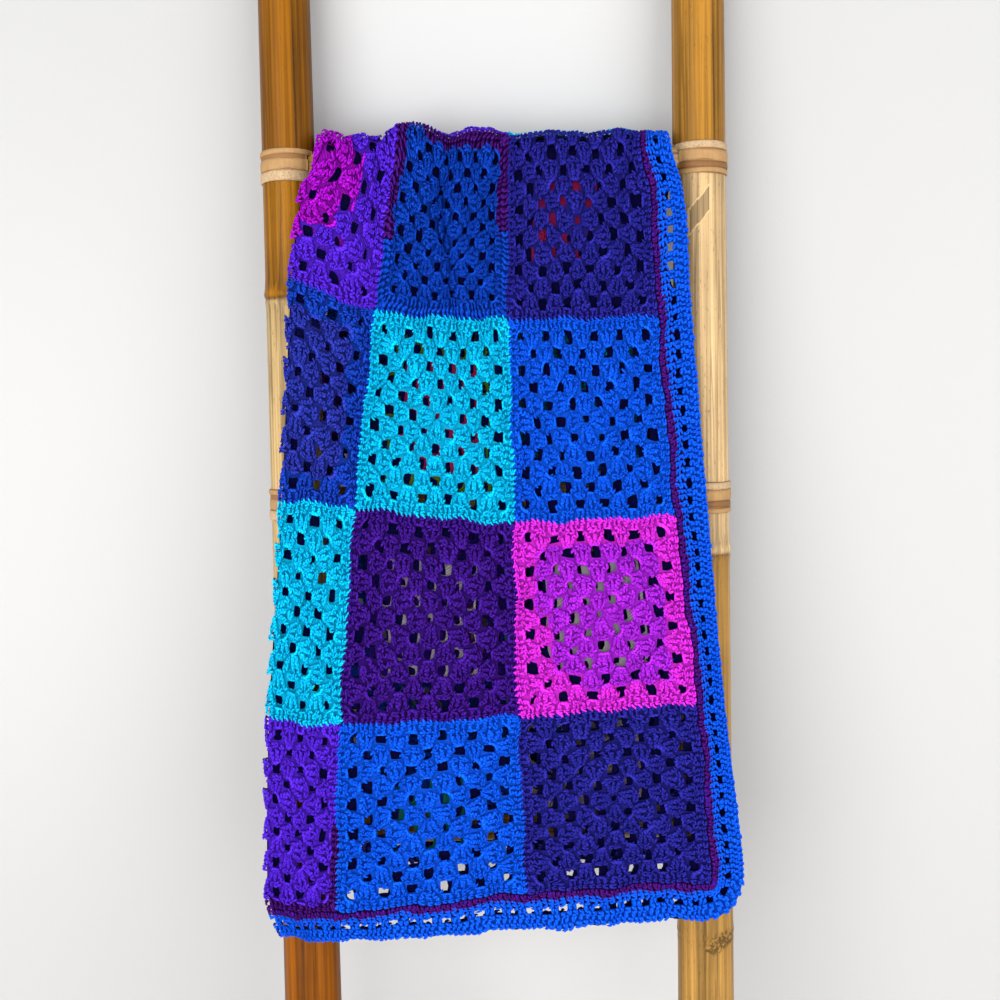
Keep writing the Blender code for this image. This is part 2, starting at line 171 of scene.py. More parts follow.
# Unevenness that only the crochet has.
RIPPLES = (
    # height, wave length, start, reach down from the rung
    (0.0004, 0.031, 0.004, 0.16),
    (0.0007, 0.083, 0.020, 0.90),
    (0.0003, 0.019, 0.011, 0.20),
)
VALLEYS = (
    # middle, slant, half width, depth, length
    (-0.0535, 0.11, 0.0140, 0.0150, 0.240),
    (-0.0860, 0.02, 0.0090, 0.0060, 0.170),
)
VALLEY_FROM = 0.036     # the valleys deepen from under the rung on
VALLEY_REACH = 0.030
OVER_BACK = 0.052       # how far the fold's top square reaches over the rung
OVER_BACK_WIDTH = 0.16
SHORT_OF_RUNG = 0.011   # how far the next square's top stays in front of it
SHORT_FROM, SHORT_GROWS = 0.05, 0.05    # where that starts from the fold on, and how gently
SHORT_TO, SHORT_FADES = 0.29, 0.07
SLIP_FULL, SLIP_FADES = 0.03, 0.13      # from the rung: all of these two, then less and less
WOBBLES = (
    # amount, wave length across, wave length down, turn
    (0.0011, 0.071, 0.093, 0.3),
    (0.0008, 0.039, 0.052, 1.9),
    (0.0005, 0.023, 0.019, 4.1),
)
CALM_FOLD, CALM_SIDES = 0.02, 0.03      # where wobbles across die down: near the fold and sides
GRID = 0.004                            # pitch of the grid that stands for the hung blanket
GRID_PAST = 0.006                       # how far it goes past the edges
FINE_AT_FOLD = (0.012, 0.0006)          # reach and pitch of its finer parts
FINE_AT_RUNG = (0.070, 0.0015)
UP = np.array((0.0, 0.0, 1.0))


def ease(value):
    """0 below 0, 1 above 1 and smooth between."""
    value = np.clip(value, 0.0, 1.0)
    return value * value * (3.0 - 2.0 * value)


def smooth_curve(places, rows, at):
    """A smooth curve through each row's values at the rising places, read at "at"."""
    rows = np.broadcast_to(rows, (len(at), len(places)))
    last = len(places) - 1
    at = np.clip(at, places[0], places[last])
    span = np.searchsorted(places[1:], at, side="left").clip(0, last - 1)
    pick = np.arange(len(at))

    def slope(i):
        low, high = np.maximum(i - 1, 0), np.minimum(i + 1, last)
        return (rows[pick, high] - rows[pick, low]) / (places[high] - places[low])

    step = places[span + 1] - places[span]
    part = (at - places[span]) / step
    near = rows[pick, span]
    rise = rows[pick, span + 1] - near
    bend = part * (1 - part) * step * (slope(span) * (1 - part) - slope(span + 1) * part)
    return near + rise * part + bend + part * (1 - part) * (2 * part - 1) * rise


def from_table(table, flat, across):
    """A table's value at places in the flat: down from the rung and across from the fold."""
    at_seams = [
        smooth_curve(table[:, 0], table[:, column], flat) for column in range(1, len(ACROSS) + 1)
    ]
    return smooth_curve(ACROSS, np.stack(at_seams, 1), across)


def in_world(x, out, up):
    """Places given in the ladder's plane: along the rung, out to the front, up the rails."""
    up = up - RUNG_TOP
    return np.stack((
        RUNG_MIDDLE.x + x,
        RUNG_MIDDLE.y + up * math.sin(LEAN) - out * math.cos(LEAN),
        RUNG_MIDDLE.z + up * math.cos(LEAN) + out * math.sin(LEAN),
    ), -1)


def stand_off(x, along):
    """How far gathers, rails and waves hold the blanket off its plain drape."""
    total = np.zeros_like(x)
    for middle, half, height, length in GATHERS:
        across = 1.0 - ease(np.abs(x - middle) / half)
        total += height * across * (1.0 - ease(np.abs(along) / length))
    quarter = DRAPE_RADIUS * math.pi / 2
    over = ease((np.abs(x) - RAILS_FROM) / RAILS_RISE)
    front = over * OVER_RAILS * ease(along / quarter - RAILS_LIFT_START)
    front += (1.0 - over) * OVER_MIDDLE * ease((along - quarter) / MIDDLE_REACH)
    wave = HEM_WAVE * np.sin(math.tau * (x - HEM_WAVE_START) / HEM_WAVE_LENGTH)
    front += (wave + HEM_WAVE) * ease((along - WAVE_FROM) / WAVE_REACH)
    total += np.where(along > 0, front, 0.0)
    for middle, slant, half, depth, length in VALLEYS:
        across = 1.0 - ease(np.abs(x - middle - slant * along) / half)
        down = (1.0 - ease(np.abs(along) / length)) * ease((along - VALLEY_FROM) / VALLEY_REACH)
        total -= depth * across * down
    for height, length, start, reach in RIPPLES:
        ripple = np.sin(math.tau * (x - start + 0.15 * along) / length)
        total += height * ripple * (1.0 - ease(np.abs(along) / reach))
    return total


def drape(x, along):
    """World places along the rung (x) and over it: down the front, or less than 0 at the back."""
    turn = np.where(along > 0, math.pi / 2, math.pi / 2 - LEAN)
    angle = np.minimum(np.abs(along) / DRAPE_RADIUS, turn)
    straight = np.abs(along) - angle * DRAPE_RADIUS
    side = np.where(along > 0, 1.0, -1.0)
    away = DRAPE_RADIUS + stand_off(x, along)
    out = side * (away * np.sin(angle) + straight * np.cos(angle))
    up = away * np.cos(angle) - straight * np.sin(angle)
    return in_world(x, out, RUNG_TOP + up)


def unit(vectors):
    """The same directions, one long."""
    return vectors / np.maximum(np.linalg.norm(vectors, axis=-1, keepdims=True), 1e-12)


def drape_normal(x, along):
    """The direction that the draped face looks in."""
    step = 0.0005
    sideways = drape(x + step, along) - drape(x - step, along)
    down = drape(x, along + step) - drape(x, along - step)
    return unit(np.cross(down, sideways))


def hang(across, length):
    """Where places in the flat blanket hang, as the middle of the yarn."""
    from_fold = np.abs(across - FOLD)
    from_rung = LONG / 2 - length
    front = from_rung >= 0
    flat = np.abs(from_rung)
    along = np.where(
        front, from_table(DOWN_FRONT, flat, from_fold), -from_table(DOWN_BACK, flat, from_fold)
    )

    def sideways(at):
        return np.where(
            front, from_table(SIDEWAYS_FRONT, flat, at), from_table(SIDEWAYS_BACK, flat, at)
        )

    edge = sideways(np.zeros_like(flat))
    radius = LAYERS / 2
    bend = radius * math.pi / 2
    angle = np.minimum(from_fold, bend) / radius
    slack = sideways(np.full_like(flat, bend)) - edge - radius
    beyond = sideways(from_fold) - slack * (1 - ease(from_fold / ACROSS[1]))
    x = np.where(from_fold < bend, edge + radius * (1 - np.cos(angle)), beyond)
    layer = radius * np.sin(angle)
    outer = across >= FOLD
    place, reach, pull = ASKEW
    pull = pull * front * (1.0 - ease(np.abs(flat - place) / reach))
    x = np.where(outer, x, edge + (x - edge) * (INNER_WIDTH - pull))
    layer = np.where(outer, layer, -layer)
    return drape(x, along) + drape_normal(x, along) * layer[:, None]


def grid_lines(size, middle, reach, pitch):
    """Where the grid's lines lie: evenly over the size, and closer round the middle."""
    even = np.arange(-GRID_PAST, size + GRID_PAST, GRID)
    close = np.arange(-reach, reach + 0.0001, pitch) + middle
    return np.unique(np.round(np.r_[even, close], 6))


class Cloth:
    """The hung blanket as a fine grid, so that any place on it is quick to find."""

    def __init__(self):
        self.across = grid_lines(WIDE, FOLD, *FINE_AT_FOLD)
        self.along = grid_lines(LONG, LONG / 2, *FINE_AT_RUNG)
        u, v = np.meshgrid(self.across, self.along, indexing="ij")
        inside = hang(u.ravel().clip(0, WIDE), v.ravel().clip(0, LONG))
        points = inside.reshape(*u.shape, 3)
        # Past the edge the grid runs straight on, so that stitches may reach over it.
        for axis, lines, size in ((0, self.across, WIDE), (1, self.along, LONG)):
            grid = np.moveaxis(points, axis, 0)
            low = np.searchsorted(lines, 0.0)
            high = np.searchsorted(lines, size, side="right") - 1
            for i in range(low - 1, -1, -1):
                step = (lines[i] - lines[i + 1]) / (lines[low] - lines[low + 1])
                grid[i] = grid[i + 1] + (grid[low] - grid[low + 1]) * step
            for i in range(high + 1, len(lines)):
                step = (lines[i] - lines[i - 1]) / (lines[high] - lines[high - 1])
                grid[i] = grid[i - 1] + (grid[high] - grid[high - 1]) * step
        self.points = points
        self.normals = unit(np.cross(np.gradient(points, axis=0), np.gradient(points, axis=1)))
        middle = len(self.across) * 3 // 4, len(self.along) // 4
        if self.normals[middle][1] > 0:
            self.normals = -self.normals

    def place(self, flat):
        """World places of (across, along, height over the cloth's face)."""
        u, v, w = flat.T
        from_rung = np.abs(LONG / 2 - v)
        from_fold = np.abs(u - FOLD)
        slip = OVER_BACK * (1.0 - ease(from_fold / OVER_BACK_WIDTH))
        short = ease((from_fold - SHORT_FROM) / SHORT_GROWS)
        slip -= SHORT_OF_RUNG * short * ease((SHORT_TO - from_fold) / SHORT_FADES)
        v = v + slip * (1.0 - ease((from_rung - SLIP_FULL) / SLIP_FADES))
        for amount, across, down, turn in WOBBLES:
            aside = np.sin(math.tau * v / down + turn + 2 * np.sin(math.tau * u / across))
            ahead = np.sin(math.tau * u / across - turn + 2 * np.sin(math.tau * v / down))
            calm = ease(from_fold / CALM_FOLD) * ease(np.minimum(u, WIDE - u) / CALM_SIDES)
            u = u + amount * aside * calm
            v = v + amount * ahead
        i = np.interp(u, self.across, np.arange(len(self.across)))
        j = np.interp(v, self.along, np.arange(len(self.along)))
        low_i = np.minimum(i.astype(int), len(self.across) - 2)
        low_j = np.minimum(j.astype(int), len(self.along) - 2)
        a, b = (i - low_i)[:, None], (j - low_j)[:, None]

        def read(grid):
            near = grid[low_i, low_j] * (1 - b) + grid[low_i, low_j + 1] * b
            far = grid[low_i + 1, low_j] * (1 - b) + grid[low_i + 1, low_j + 1] * b
            return near * (1 - a) + far * a

        return read(self.points) + unit(read(self.normals)) * w[:, None]


# ---------------------------------------------------------------- yarn
def tube_faces(rings, sides):
    """Faces of a tube whose rings of points come first, then its first and its last end."""
    around = np.arange(sides)
    after = (around + 1) % sides
    row = (np.arange(rings - 1) * sides)[:, None]
    quads = np.stack((row + around, row + after, row + sides + after, row + sides + around), -1)
    end = (rings - 1) * sides
    first = np.stack((np.full(sides, rings * sides), after, around), -1)
    last = np.stack((np.full(sides, rings * sides + 1), end + around, end + after), -1)
    return quads.reshape(-1, 4), np.concatenate((first, last))


def strand_places(reach, row, turn):
    """How far along each strand and how far round it the corners of its faces are."""
    return np.stack(np.broadcast_arrays(reach[:, row], turn), -1).reshape(-1, 2)


class Yarn:
    """Strands of yarn in flat places, gathered into one mesh.

    Each batch of strands shares its count of points. The ends are closed to a point."""

    def __init__(self):
        self.points, self.quads, self.triangles = [], [], []
        self.quad_marks, self.triangle_marks = [], []
        self.quad_places, self.triangle_places = [], []
        self.groups = []
        self.count = 0

    def add(self, lines, radii, mark, group, sides=4, squash=0.8):
        """lines is (strand, point, 3); radii is one for each point between the ends; mark is
        the colour index of each strand and group the stitch that it belongs to."""
        strands, steps, _ = lines.shape
        rings = steps - 2
        radii = np.broadcast_to(radii, (strands, rings))
        tangent = unit(lines[:, 2:] - lines[:, :-2])
        side = unit(np.cross(tangent, UP))
        lift = np.cross(side, tangent)
        angles = (np.arange(sides) + 0.5) / sides * math.tau
        ring = (
            side[:, :, None] * np.cos(angles)[:, None]
            + lift[:, :, None] * (squash * np.sin(angles))[:, None]
        )
        body = lines[:, 1:-1, None] + ring * radii[:, :, None, None]
        points = np.concatenate((body.reshape(strands, -1, 3), lines[:, :1], lines[:, -1:]), 1)
        each = rings * sides + 2
        base = (self.count + np.arange(strands) * each)[:, None, None]
        quad, triangle = tube_faces(rings, sides)
        self.points.append(points.reshape(-1, 3))
        self.quads.append((base + quad).reshape(-1, 4))
        self.triangles.append((base + triangle).reshape(-1, 3))
        mark = np.broadcast_to(mark, strands)
        self.quad_marks.append(np.repeat(mark, len(quad)))
        self.triangle_marks.append(np.repeat(mark, len(triangle)))
        self.groups.append(np.repeat(np.broadcast_to(group, strands), each))
        # Each corner's place on the strand: how far along it and how far round it.
        gaps = np.linalg.norm(np.diff(lines, axis=1), axis=2)
        reach = np.concatenate((np.zeros((strands, 1)), np.cumsum(gaps, 1)), 1)
        around = np.arange(sides)[:, None]
        row = np.arange(1, rings)[:, None, None] + (0, 0, 1, 1)
        self.quad_places.append(strand_places(reach, row, (around + (0, 1, 1, 0)) / sides))
        ends = np.array((((0, 1, 1),), ((-1, -2, -2),)))
        turns = np.stack((around + (0.5, 1, 0), around + (0.5, 0, 1))) / sides
        self.triangle_places.append(strand_places(reach, ends, turns))
        self.count += strands * each

    def arrays(self):
        """All batches as one set, quads first."""
        return {
            "points": np.concatenate(self.points),
            "quads": np.concatenate(self.quads),
            "triangles": np.concatenate(self.triangles),
            "marks": np.concatenate(self.quad_marks + self.triangle_marks),
            "strand": np.concatenate(self.quad_places + self.triangle_places),
            "groups": np.concatenate(self.groups),
        }


def straight(start, end, steps):
    """Points from each start to its end, and how far along they are."""
    part = np.linspace(0.0, 1.0, steps)[None, :, None]
    return start[:, None] * (1 - part) + end[:, None] * part, part


def single(start, end, steps, bow):
    """One strand from each start to its end, raised in the middle by its bow."""
    line, part = straight(start, end, steps)
    return line + UP * (bow * np.sin(math.pi * part))


PINCH = 0.35            # how wide a twisted pair stays at its ends
TWIST_HEIGHT = 0.62     # of its width


def twisted(start, end, steps, turns, wide, bow, phase):
    """Two strands wound round each other from start to end, with pinched ends."""
    line, part = straight(start, end, steps)
    side = unit(np.cross(unit(end - start), UP))[:, None]
    line = line + UP * (bow * np.sin(math.pi * part))
    pinch = PINCH + (1 - PINCH) * np.sin(math.pi * part.clip(0.12, 0.88))
    angle = math.tau * turns * part + phase[:, None, None]
    return np.concatenate([
        line + wide * pinch * (side * np.cos(turn) + TWIST_HEIGHT * UP * np.sin(turn))
        for turn in (angle, angle + math.pi)
    ])


WRAP_LENGTH = 0.0060
WRAP_SHIFT = 0.025      # how unevenly the wraps follow each other up a post, in posts
WRAP_SLANT = (1.0, 0.22)        # how far they lean from the post, and how unevenly, in radians
WRAP_SHAPE = (
    # along each wrap, in half lengths, and height over the post's middle
    (-1.0, -0.0006), (-0.40, 0.0009), (0.40, 0.0009), (1.0, -0.0006),
)


def wrapped(foot, head, count, bow, random):
    """Short slanted strands stacked up each post, crossing from side to side."""
    along = unit(head - foot)
    side = unit(np.cross(along, UP))
    lines = []
    for k in range(count):
        part = (k + 0.5) / count + random.normal(0.0, WRAP_SHIFT, len(foot))
        turn = (-1.0) ** k * random.normal(*WRAP_SLANT, len(foot))[:, None]
        way = along * np.cos(turn) + side * np.sin(turn)
        half = 0.5 * WRAP_LENGTH * random.uniform(0.85, 1.15, (len(foot), 1))
        middle = foot + (head - foot) * part[:, None]
        middle = middle + UP * (bow * np.sin(math.pi * part))[:, None]
        lines.append(np.stack([
            middle + way * half * ahead + UP * height for ahead, height in WRAP_SHAPE
        ], 1))
    return np.concatenate(lines)


V_SHAPE = (
    # along the row, in lengths; aside, in spreads; lower than the top
    (-0.55, 1.00, 0.0010), (-0.12, 0.95, 0.0), (0.30, 0.45, 0.0), (0.58, 0.0, 0.0012),
)


def vees(middle, along, out, length, spread, height):
    """The two arms of each stitch's top, as a V that lies along the row."""
    arms = []
    for side in (1.0, -1.0):
        arms.append(np.stack([
            middle + along * length * ahead + out * spread * aside * side + UP * (height - lower)
            for ahead, aside, lower in V_SHAPE
        ], 1))
    return np.concatenate(arms)


# ---------------------------------------------------------------- one granny square
# How finely a square is crocheted: how many wraps are on each post, how many loops are over
# a cluster's top, and whether the square lies in the shade between the layers, drawn all in
# darker copies of its yarns: painted shade.
FINE = {"wraps": 7, "tops": 5, "shaded": 0}
PLAIN = {"wraps": 4, "tops": 5, "shaded": 0}
HIDDEN = {"wraps": 0, "tops": 0, "shaded": 1}
SHADED = 8              # marks from here on are the rounds again, in darker copies of their yarns: painted shade
HOLE_SHADE = 16               # the mark of the dark patch in a closed gap: painted shade of the hole

STITCHES = np.array((-1.0, 0.0, 1.0))       # three tall stitches make a cluster
FOOT_SPREAD = 0.19      # in loops, as are the other places in a square
HEAD_SPREAD = 0.44
FOOT_FROM_RING = -0.70
HEAD_FROM_RING = 0.34
FOOT_ROUNDING = 0.03    # how much further out the feet of the two outer stitches are
HEAD_ROUNDING = 0.20    # how much further in their heads are
FOOT_HEIGHT = -0.0016   # in metres, as the other heights and bows
CORE_BOW = 0.0004
WRAPS_BOW = 0.0010
CORNER_SHIFT = 0.07     # how far a corner's clusters are moved towards it
CORNER_LEAN = 0.12
DOME = 0.56             # half the width of a cluster's rounded top
DOME_OVER_HEAD = 0.12
DOME_DROP = 0.34        # how much lower its ends are
DOME_LEAN = 1.05        # how far its last loops lean, in radians
TOP_LENGTH = 0.36       # of each V along the top
TOP_SPREAD = 0.00150
TOP_HEIGHT = 0.0020
CHAIN_HALF = 0.50       # half the length of the chain between two clusters
CHAIN_RADIUS = 0.0014   # of its strand
BEND_THICK = 0.0015     # radius of the strand of the chain round a corner
BEND_RADIUS = 0.50      # and of the corner itself
BEND_FROM_RING = -0.06
CHAIN_FROM_RING = 0.40
EDGE_PITCH = 0.41       # between the stitches of the last round
EDGE_PAST = 0.76        # how far it goes past the fifth round's corners
EDGE_FOOT = 0.34
EDGE_OVER_GAP = 0.10    # how much further out its feet are at a gap
EDGE_HEAD = 0.80
EDGE_TOP = 0.86
EDGE_SPREAD = 0.00115
EDGE_HEIGHT = 0.0014
EDGE_POST_RADIUS = 0.00130
EDGE_TOP_RADIUS = 0.00112


def turn_points(points, quarter):
    """Turned by quarter turns in the flat."""
    cos, sin = ((1, 0), (0, 1), (-1, 0), (0, -1))[quarter]
    turned = points.copy()
    turned[..., 0] = cos * points[..., 0] - sin * points[..., 1]
    turned[..., 1] = sin * points[..., 0] + cos * points[..., 1]
    return turned


def in_loops(x, y, height=0.0):
    """Places in a square, given in loops with the height in metres."""
    x, y, height = np.broadcast_arrays(x, y, height)
    return np.stack((x * LOOP, y * LOOP, height), -1)


def add_cluster(yarn, detail, random, quarter, ring, i, group):
    """Three tall stitches out of one gap, fanned out, with their tops round the far side."""
    corner = np.sign(i) * (abs(i) == ring - 1)
    middle = i + corner * CORNER_SHIFT
    swing = random.normal(0.0, 0.03, len(STITCHES))
    aside = np.abs(STITCHES)
    foot_out = ring + FOOT_FROM_RING + FOOT_ROUNDING * aside
    foot = in_loops(middle + STITCHES * FOOT_SPREAD, foot_out, FOOT_HEIGHT)
    head_out = ring + HEAD_FROM_RING - HEAD_ROUNDING * aside
    head = in_loops(middle + STITCHES * HEAD_SPREAD + swing, head_out)
    foot, head = turn_points(foot, quarter), turn_points(head, quarter)
    sizes = settings("blanket_yarn")
    # The core is drawn in a darker copy of its yarn: painted shade under the wraps.
    core = single(foot, head, 4, CORE_BOW)
    yarn.add(core, sizes.core_radius, ring + SHADED, group, squash=0.5)
    if detail["wraps"]:
        lines = wrapped(foot, head, detail["wraps"], WRAPS_BOW, random)
        yarn.add(lines, sizes.post_radius, ring, group, sides=3)
    if detail["tops"]:
        part = np.linspace(-1.0, 1.0, detail["tops"]) + random.normal(0.0, 0.06, detail["tops"])
        lean = part * DOME_LEAN + corner * CORNER_LEAN + random.normal(0.0, 0.05)
        dome_out = ring + HEAD_FROM_RING + DOME_OVER_HEAD - DOME_DROP * part * part
        place = in_loops(middle + part * DOME, dome_out)
        zero = np.zeros(len(part))
        along = np.stack((np.cos(lean), -np.sin(lean), zero), 1)
        out = np.stack((np.sin(lean), np.cos(lean), zero), 1)
        place, along, out = (turn_points(each, quarter) for each in (place, along, out))
        lines = vees(place, along, out, LOOP * TOP_LENGTH, TOP_SPREAD, TOP_HEIGHT)
        yarn.add(lines, sizes.top_radius, ring, group, sides=3)


def add_chains(yarn, quarter, ring, group, shaded):
    """Chains between the clusters of a round, and the longer one round the corner."""
    mark = ring + SHADED * shaded
    places = range(-(ring - 2), ring - 1, 2)
    for number, i in enumerate(places):
        ends = in_loops(i + CHAIN_HALF * np.array((-1, 1)), ring + CHAIN_FROM_RING)
        ends = turn_points(ends, quarter)
        lines = single(ends[:1], ends[1:], 4, -0.0003)
        yarn.add(lines, CHAIN_RADIUS, mark, group + number)
    angle = np.linspace(-0.15, math.pi / 2 + 0.15, 7)
    x, y = (ring + BEND_FROM_RING + BEND_RADIUS * way(angle) for way in (np.cos, np.sin))
    arc = in_loops(x, y, 0.0003)
    yarn.add(turn_points(arc, quarter)[None], BEND_THICK, mark, group + len(places))
    return len(places) + 1


def square_template(detail, random):
    """A granny square round its own middle. Marks are its rounds, 1 to 6, and 7 is the lower
    part of the last one."""
    yarn = Yarn()
    group = 0
    for quarter in range(4):
        for ring in range(1, ROUNDS + 1):
            for i in range(-(ring - 1), ring, 2):
                add_cluster(yarn, detail, random, quarter, ring, i, group)
                group += 1
            group += add_chains(yarn, quarter, ring, group, detail["shaded"])
        if detail["tops"]:
            group += add_last_round(yarn, quarter, random, group)
    return yarn.arrays()


def is_lower(x, quarter):
    """1 for the places of the last round's lower part: its lower side and the ends of the
    others next to it."""
    if quarter in (0, 2):
        return np.full(np.shape(x), quarter // 2)
    return np.where(x < -2.0, 1, 0) if quarter == 1 else np.where(x > 0.0, 1, 0)


def add_last_round(yarn, quarter, random, group):
    """The close round: short stitches side by side with their tops along the square's edge."""
    x = np.arange(-ROUNDS - EDGE_PAST, ROUNDS + EDGE_PAST + 0.01, EDGE_PITCH)
    count = len(x)
    from_gap = np.abs((x + ROUNDS) % 2 - 1.0)
    foot_out = ROUNDS + EDGE_FOOT + EDGE_OVER_GAP * (from_gap < 0.5)
    slant = random.normal(0.0, 0.05, count)
    foot = turn_points(in_loops(x, foot_out, -0.0004), quarter)
    head = turn_points(in_loops(x + slant, ROUNDS + EDGE_HEAD, 0.0002), quarter)
    mark = LAST_ROUND + is_lower(x, quarter)
    groups = group + np.arange(count)
    phase = random.uniform(0, math.tau, count)
    lines = twisted(foot, head, 4, 0.7, 0.0009, 0.0008, phase)
    yarn.add(lines, EDGE_POST_RADIUS, np.tile(mark, 2), np.tile(groups, 2), sides=3)
    place = turn_points(in_loops(x, ROUNDS + EDGE_TOP), quarter)
    along, out = turn_points(np.eye(3)[:2], quarter)
    lines = vees(place, along, out, LOOP * EDGE_PITCH, EDGE_SPREAD, EDGE_HEIGHT)
    yarn.add(lines, EDGE_TOP_RADIUS, np.tile(mark, 2), np.tile(groups, 2), sides=3)
    return count


def part_of(arrays, keep):
    """The faces whose middle is to be kept, with all points."""
    points = arrays["points"]
    quads, triangles = arrays["quads"], arrays["triangles"]
    middle_quads = keep(points[quads].mean(1))
    middle_triangles = keep(points[triangles].mean(1))
    corners = np.r_[np.repeat(middle_quads, 4), np.repeat(middle_triangles, 3)]
    return {
        "points": points,
        "quads": quads[middle_quads],
        "triangles": triangles[middle_triangles],
        "marks": arrays["marks"][np.r_[middle_quads, middle_triangles]],
        "strand": arrays["strand"][corners],
    }


def joined(sets):
    """Sets of arrays as one, with all the quads first."""
    shifts = np.cumsum([0] + [len(each["points"]) for each in sets])

    def faces(key):
        return np.concatenate([each[key] + shift for each, shift in zip(sets, shifts)])

    def of_faces(key, corners):
        split = [len(each["quads"]) * corners for each in sets]
        quads = [each[key][:at] for each, at in zip(sets, split)]
        return np.concatenate(quads + [each[key][at:] for each, at in zip(sets, split)])

    return {
        "points": np.concatenate([each["points"] for each in sets]),
        "quads": faces("quads"),
        "triangles": faces("triangles"),
        "marks": of_faces("marks", 1),
        "strand": of_faces("strand", 4),
    }


def added(name, data):
    """A new object in the scene."""
    thing = bpy.data.objects.new(name, data)
    bpy.context.scene.collection.objects.link(thing)
    return thing


def make_piece(name, arrays, materials):
    """A mesh object from arrays. Quads come first, and marks give each face's material."""
    points, quads, triangles = (arrays[key] for key in ("points", "quads", "triangles"))
    used = np.unique(np.r_[quads.ravel(), triangles.ravel()])
    renumber = np.zeros(len(points), int)
    renumber[used] = np.arange(len(used))
    mesh = bpy.data.meshes.new(name)
    mesh.vertices.add(len(used))
    mesh.vertices.foreach_set("co", points[used].astype(np.float32).ravel())
    corners = renumber[np.r_[quads.ravel(), triangles.ravel()]].astype(np.int32)
    mesh.loops.add(len(corners))
    mesh.loops.foreach_set("vertex_index", corners)
    sizes = np.r_[np.full(len(quads), 4), np.full(len(triangles), 3)]
    starts = np.r_[0, np.cumsum(sizes)[:-1]].astype(np.int32)
    mesh.polygons.add(len(sizes))
    mesh.polygons.foreach_set("loop_start", starts)
    mesh.polygons.foreach_set("material_index", arrays["marks"].astype(np.int32))
    mesh.polygons.foreach_set("use_smooth", np.full(len(sizes), True))
    for material in materials:
        mesh.materials.append(material)
    if "strand" in arrays:
        layer = mesh.uv_layers.new(name="strand")
        layer.uv.foreach_set("vector", arrays["strand"].astype(np.float32).ravel())
    mesh.update(calc_edges=True)
    mesh.validate()
    thing = added(name, mesh)
    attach(thing, "root")
    return thing


# ---------------------------------------------------------------- settings
def linear(red, green, blue):
    """A colour as seen on a screen, 0 to 255, as the light that it reflects."""
    values = []
    for value in (red, green, blue):
        value = value / 255
        values.append(value / 12.92 if value <= 0.04045 else ((value + 0.055) / 1.055) ** 2.4)
    return tuple(values)


def color_setting(name, description, red, green, blue):
    return FloatVectorProperty(
        name=name, description=description, default=linear(red, green, blue),
        size=3, min=0.0, max=1.0, subtype="COLOR",
    )


def length_setting(name, description, default, low, high, precision=5):
    return FloatProperty(
        name=name, description=description, default=default, min=low, max=high,
        precision=precision, unit="LENGTH",
    )


def number_setting(name, description, default, high=1.0, **more):
    return FloatProperty(
        name=name, description=description, default=default, min=0.0, max=high, **more,
    )


class BlanketYarns(bpy.types.PropertyGroup):
    """The colours of yarn that the blanket is crocheted from."""

    magenta: color_setting("Magenta", "Magenta yarn", 175, 17, 206)
    violet: color_setting("Violet", "Violet yarn", 93, 40, 226)
    mid_blue: color_setting("Mid blue", "Mid blue yarn", 14, 71, 199)
    maroon: color_setting("Maroon", "Dark purple-red yarn", 74, 20, 122)
    indigo: color_setting("Indigo", "Dark blue-purple yarn", 44, 42, 159)
    navy: color_setting("Navy", "Navy yarn", 46, 58, 177)
    deep_blue: color_setting("Deep blue", "Deep blue yarn", 25, 70, 199)
    cyan: color_setting("Cyan", "Bright cyan yarn", 7, 203, 255)
    royal: color_setting("Royal blue", "Royal blue yarn", 14, 95, 246)
    plum: color_setting("Plum", "Dark purple yarn", 69, 25, 149)
    orchid: color_setting("Orchid", "Purple yarn", 189, 43, 239)
    pink: color_setting("Pink", "Hot pink yarn", 238, 51, 240)
    crimson: color_setting("Crimson", "Pink-red yarn", 170, 35, 95)
    lime: color_setting("Lime", "Yellow-green yarn", 90, 130, 40)
    teal: color_setting("Teal", "Green-blue yarn", 12, 105, 95)
    grey: color_setting("Grey", "Grey yarn", 180, 168, 180)
    # Ink is for painted shade: the inner layer's squares and border, and the patches in closed
    # gaps.
    ink: color_setting("Ink", "Dark navy yarn", 13, 12, 84)


YARNS = tuple(BlanketYarns.__annotations__)


class YarnSettings(bpy.types.PropertyGroup):
    """How thick the yarn is and how it catches the light."""

    post_radius: length_setting(
        "Post", "Radius of one strand in a tall stitch", 0.00105, 0.0005, 0.003,
    )
    core_radius: length_setting(
        "Core", "Radius of the core of a tall stitch", 0.0026, 0.0005, 0.005,
    )
    top_radius: length_setting(
        "Top", "Radius of the strands along the top of a row", 0.00115, 0.0005, 0.003,
    )
    ply_length: length_setting(
        "Ply", "Distance from one ply to the next along a strand", 0.0026, 0.0005, 0.01,
    )
    ply_depth: length_setting("Ply depth", "How deep the plies look", 0.0006, 0.0, 0.002)
    roughness: number_setting("Roughness", "Roughness of the yarn", 0.85)
    sheen: number_setting("Sheen", "How much the fuzz catches the light", 0.10)


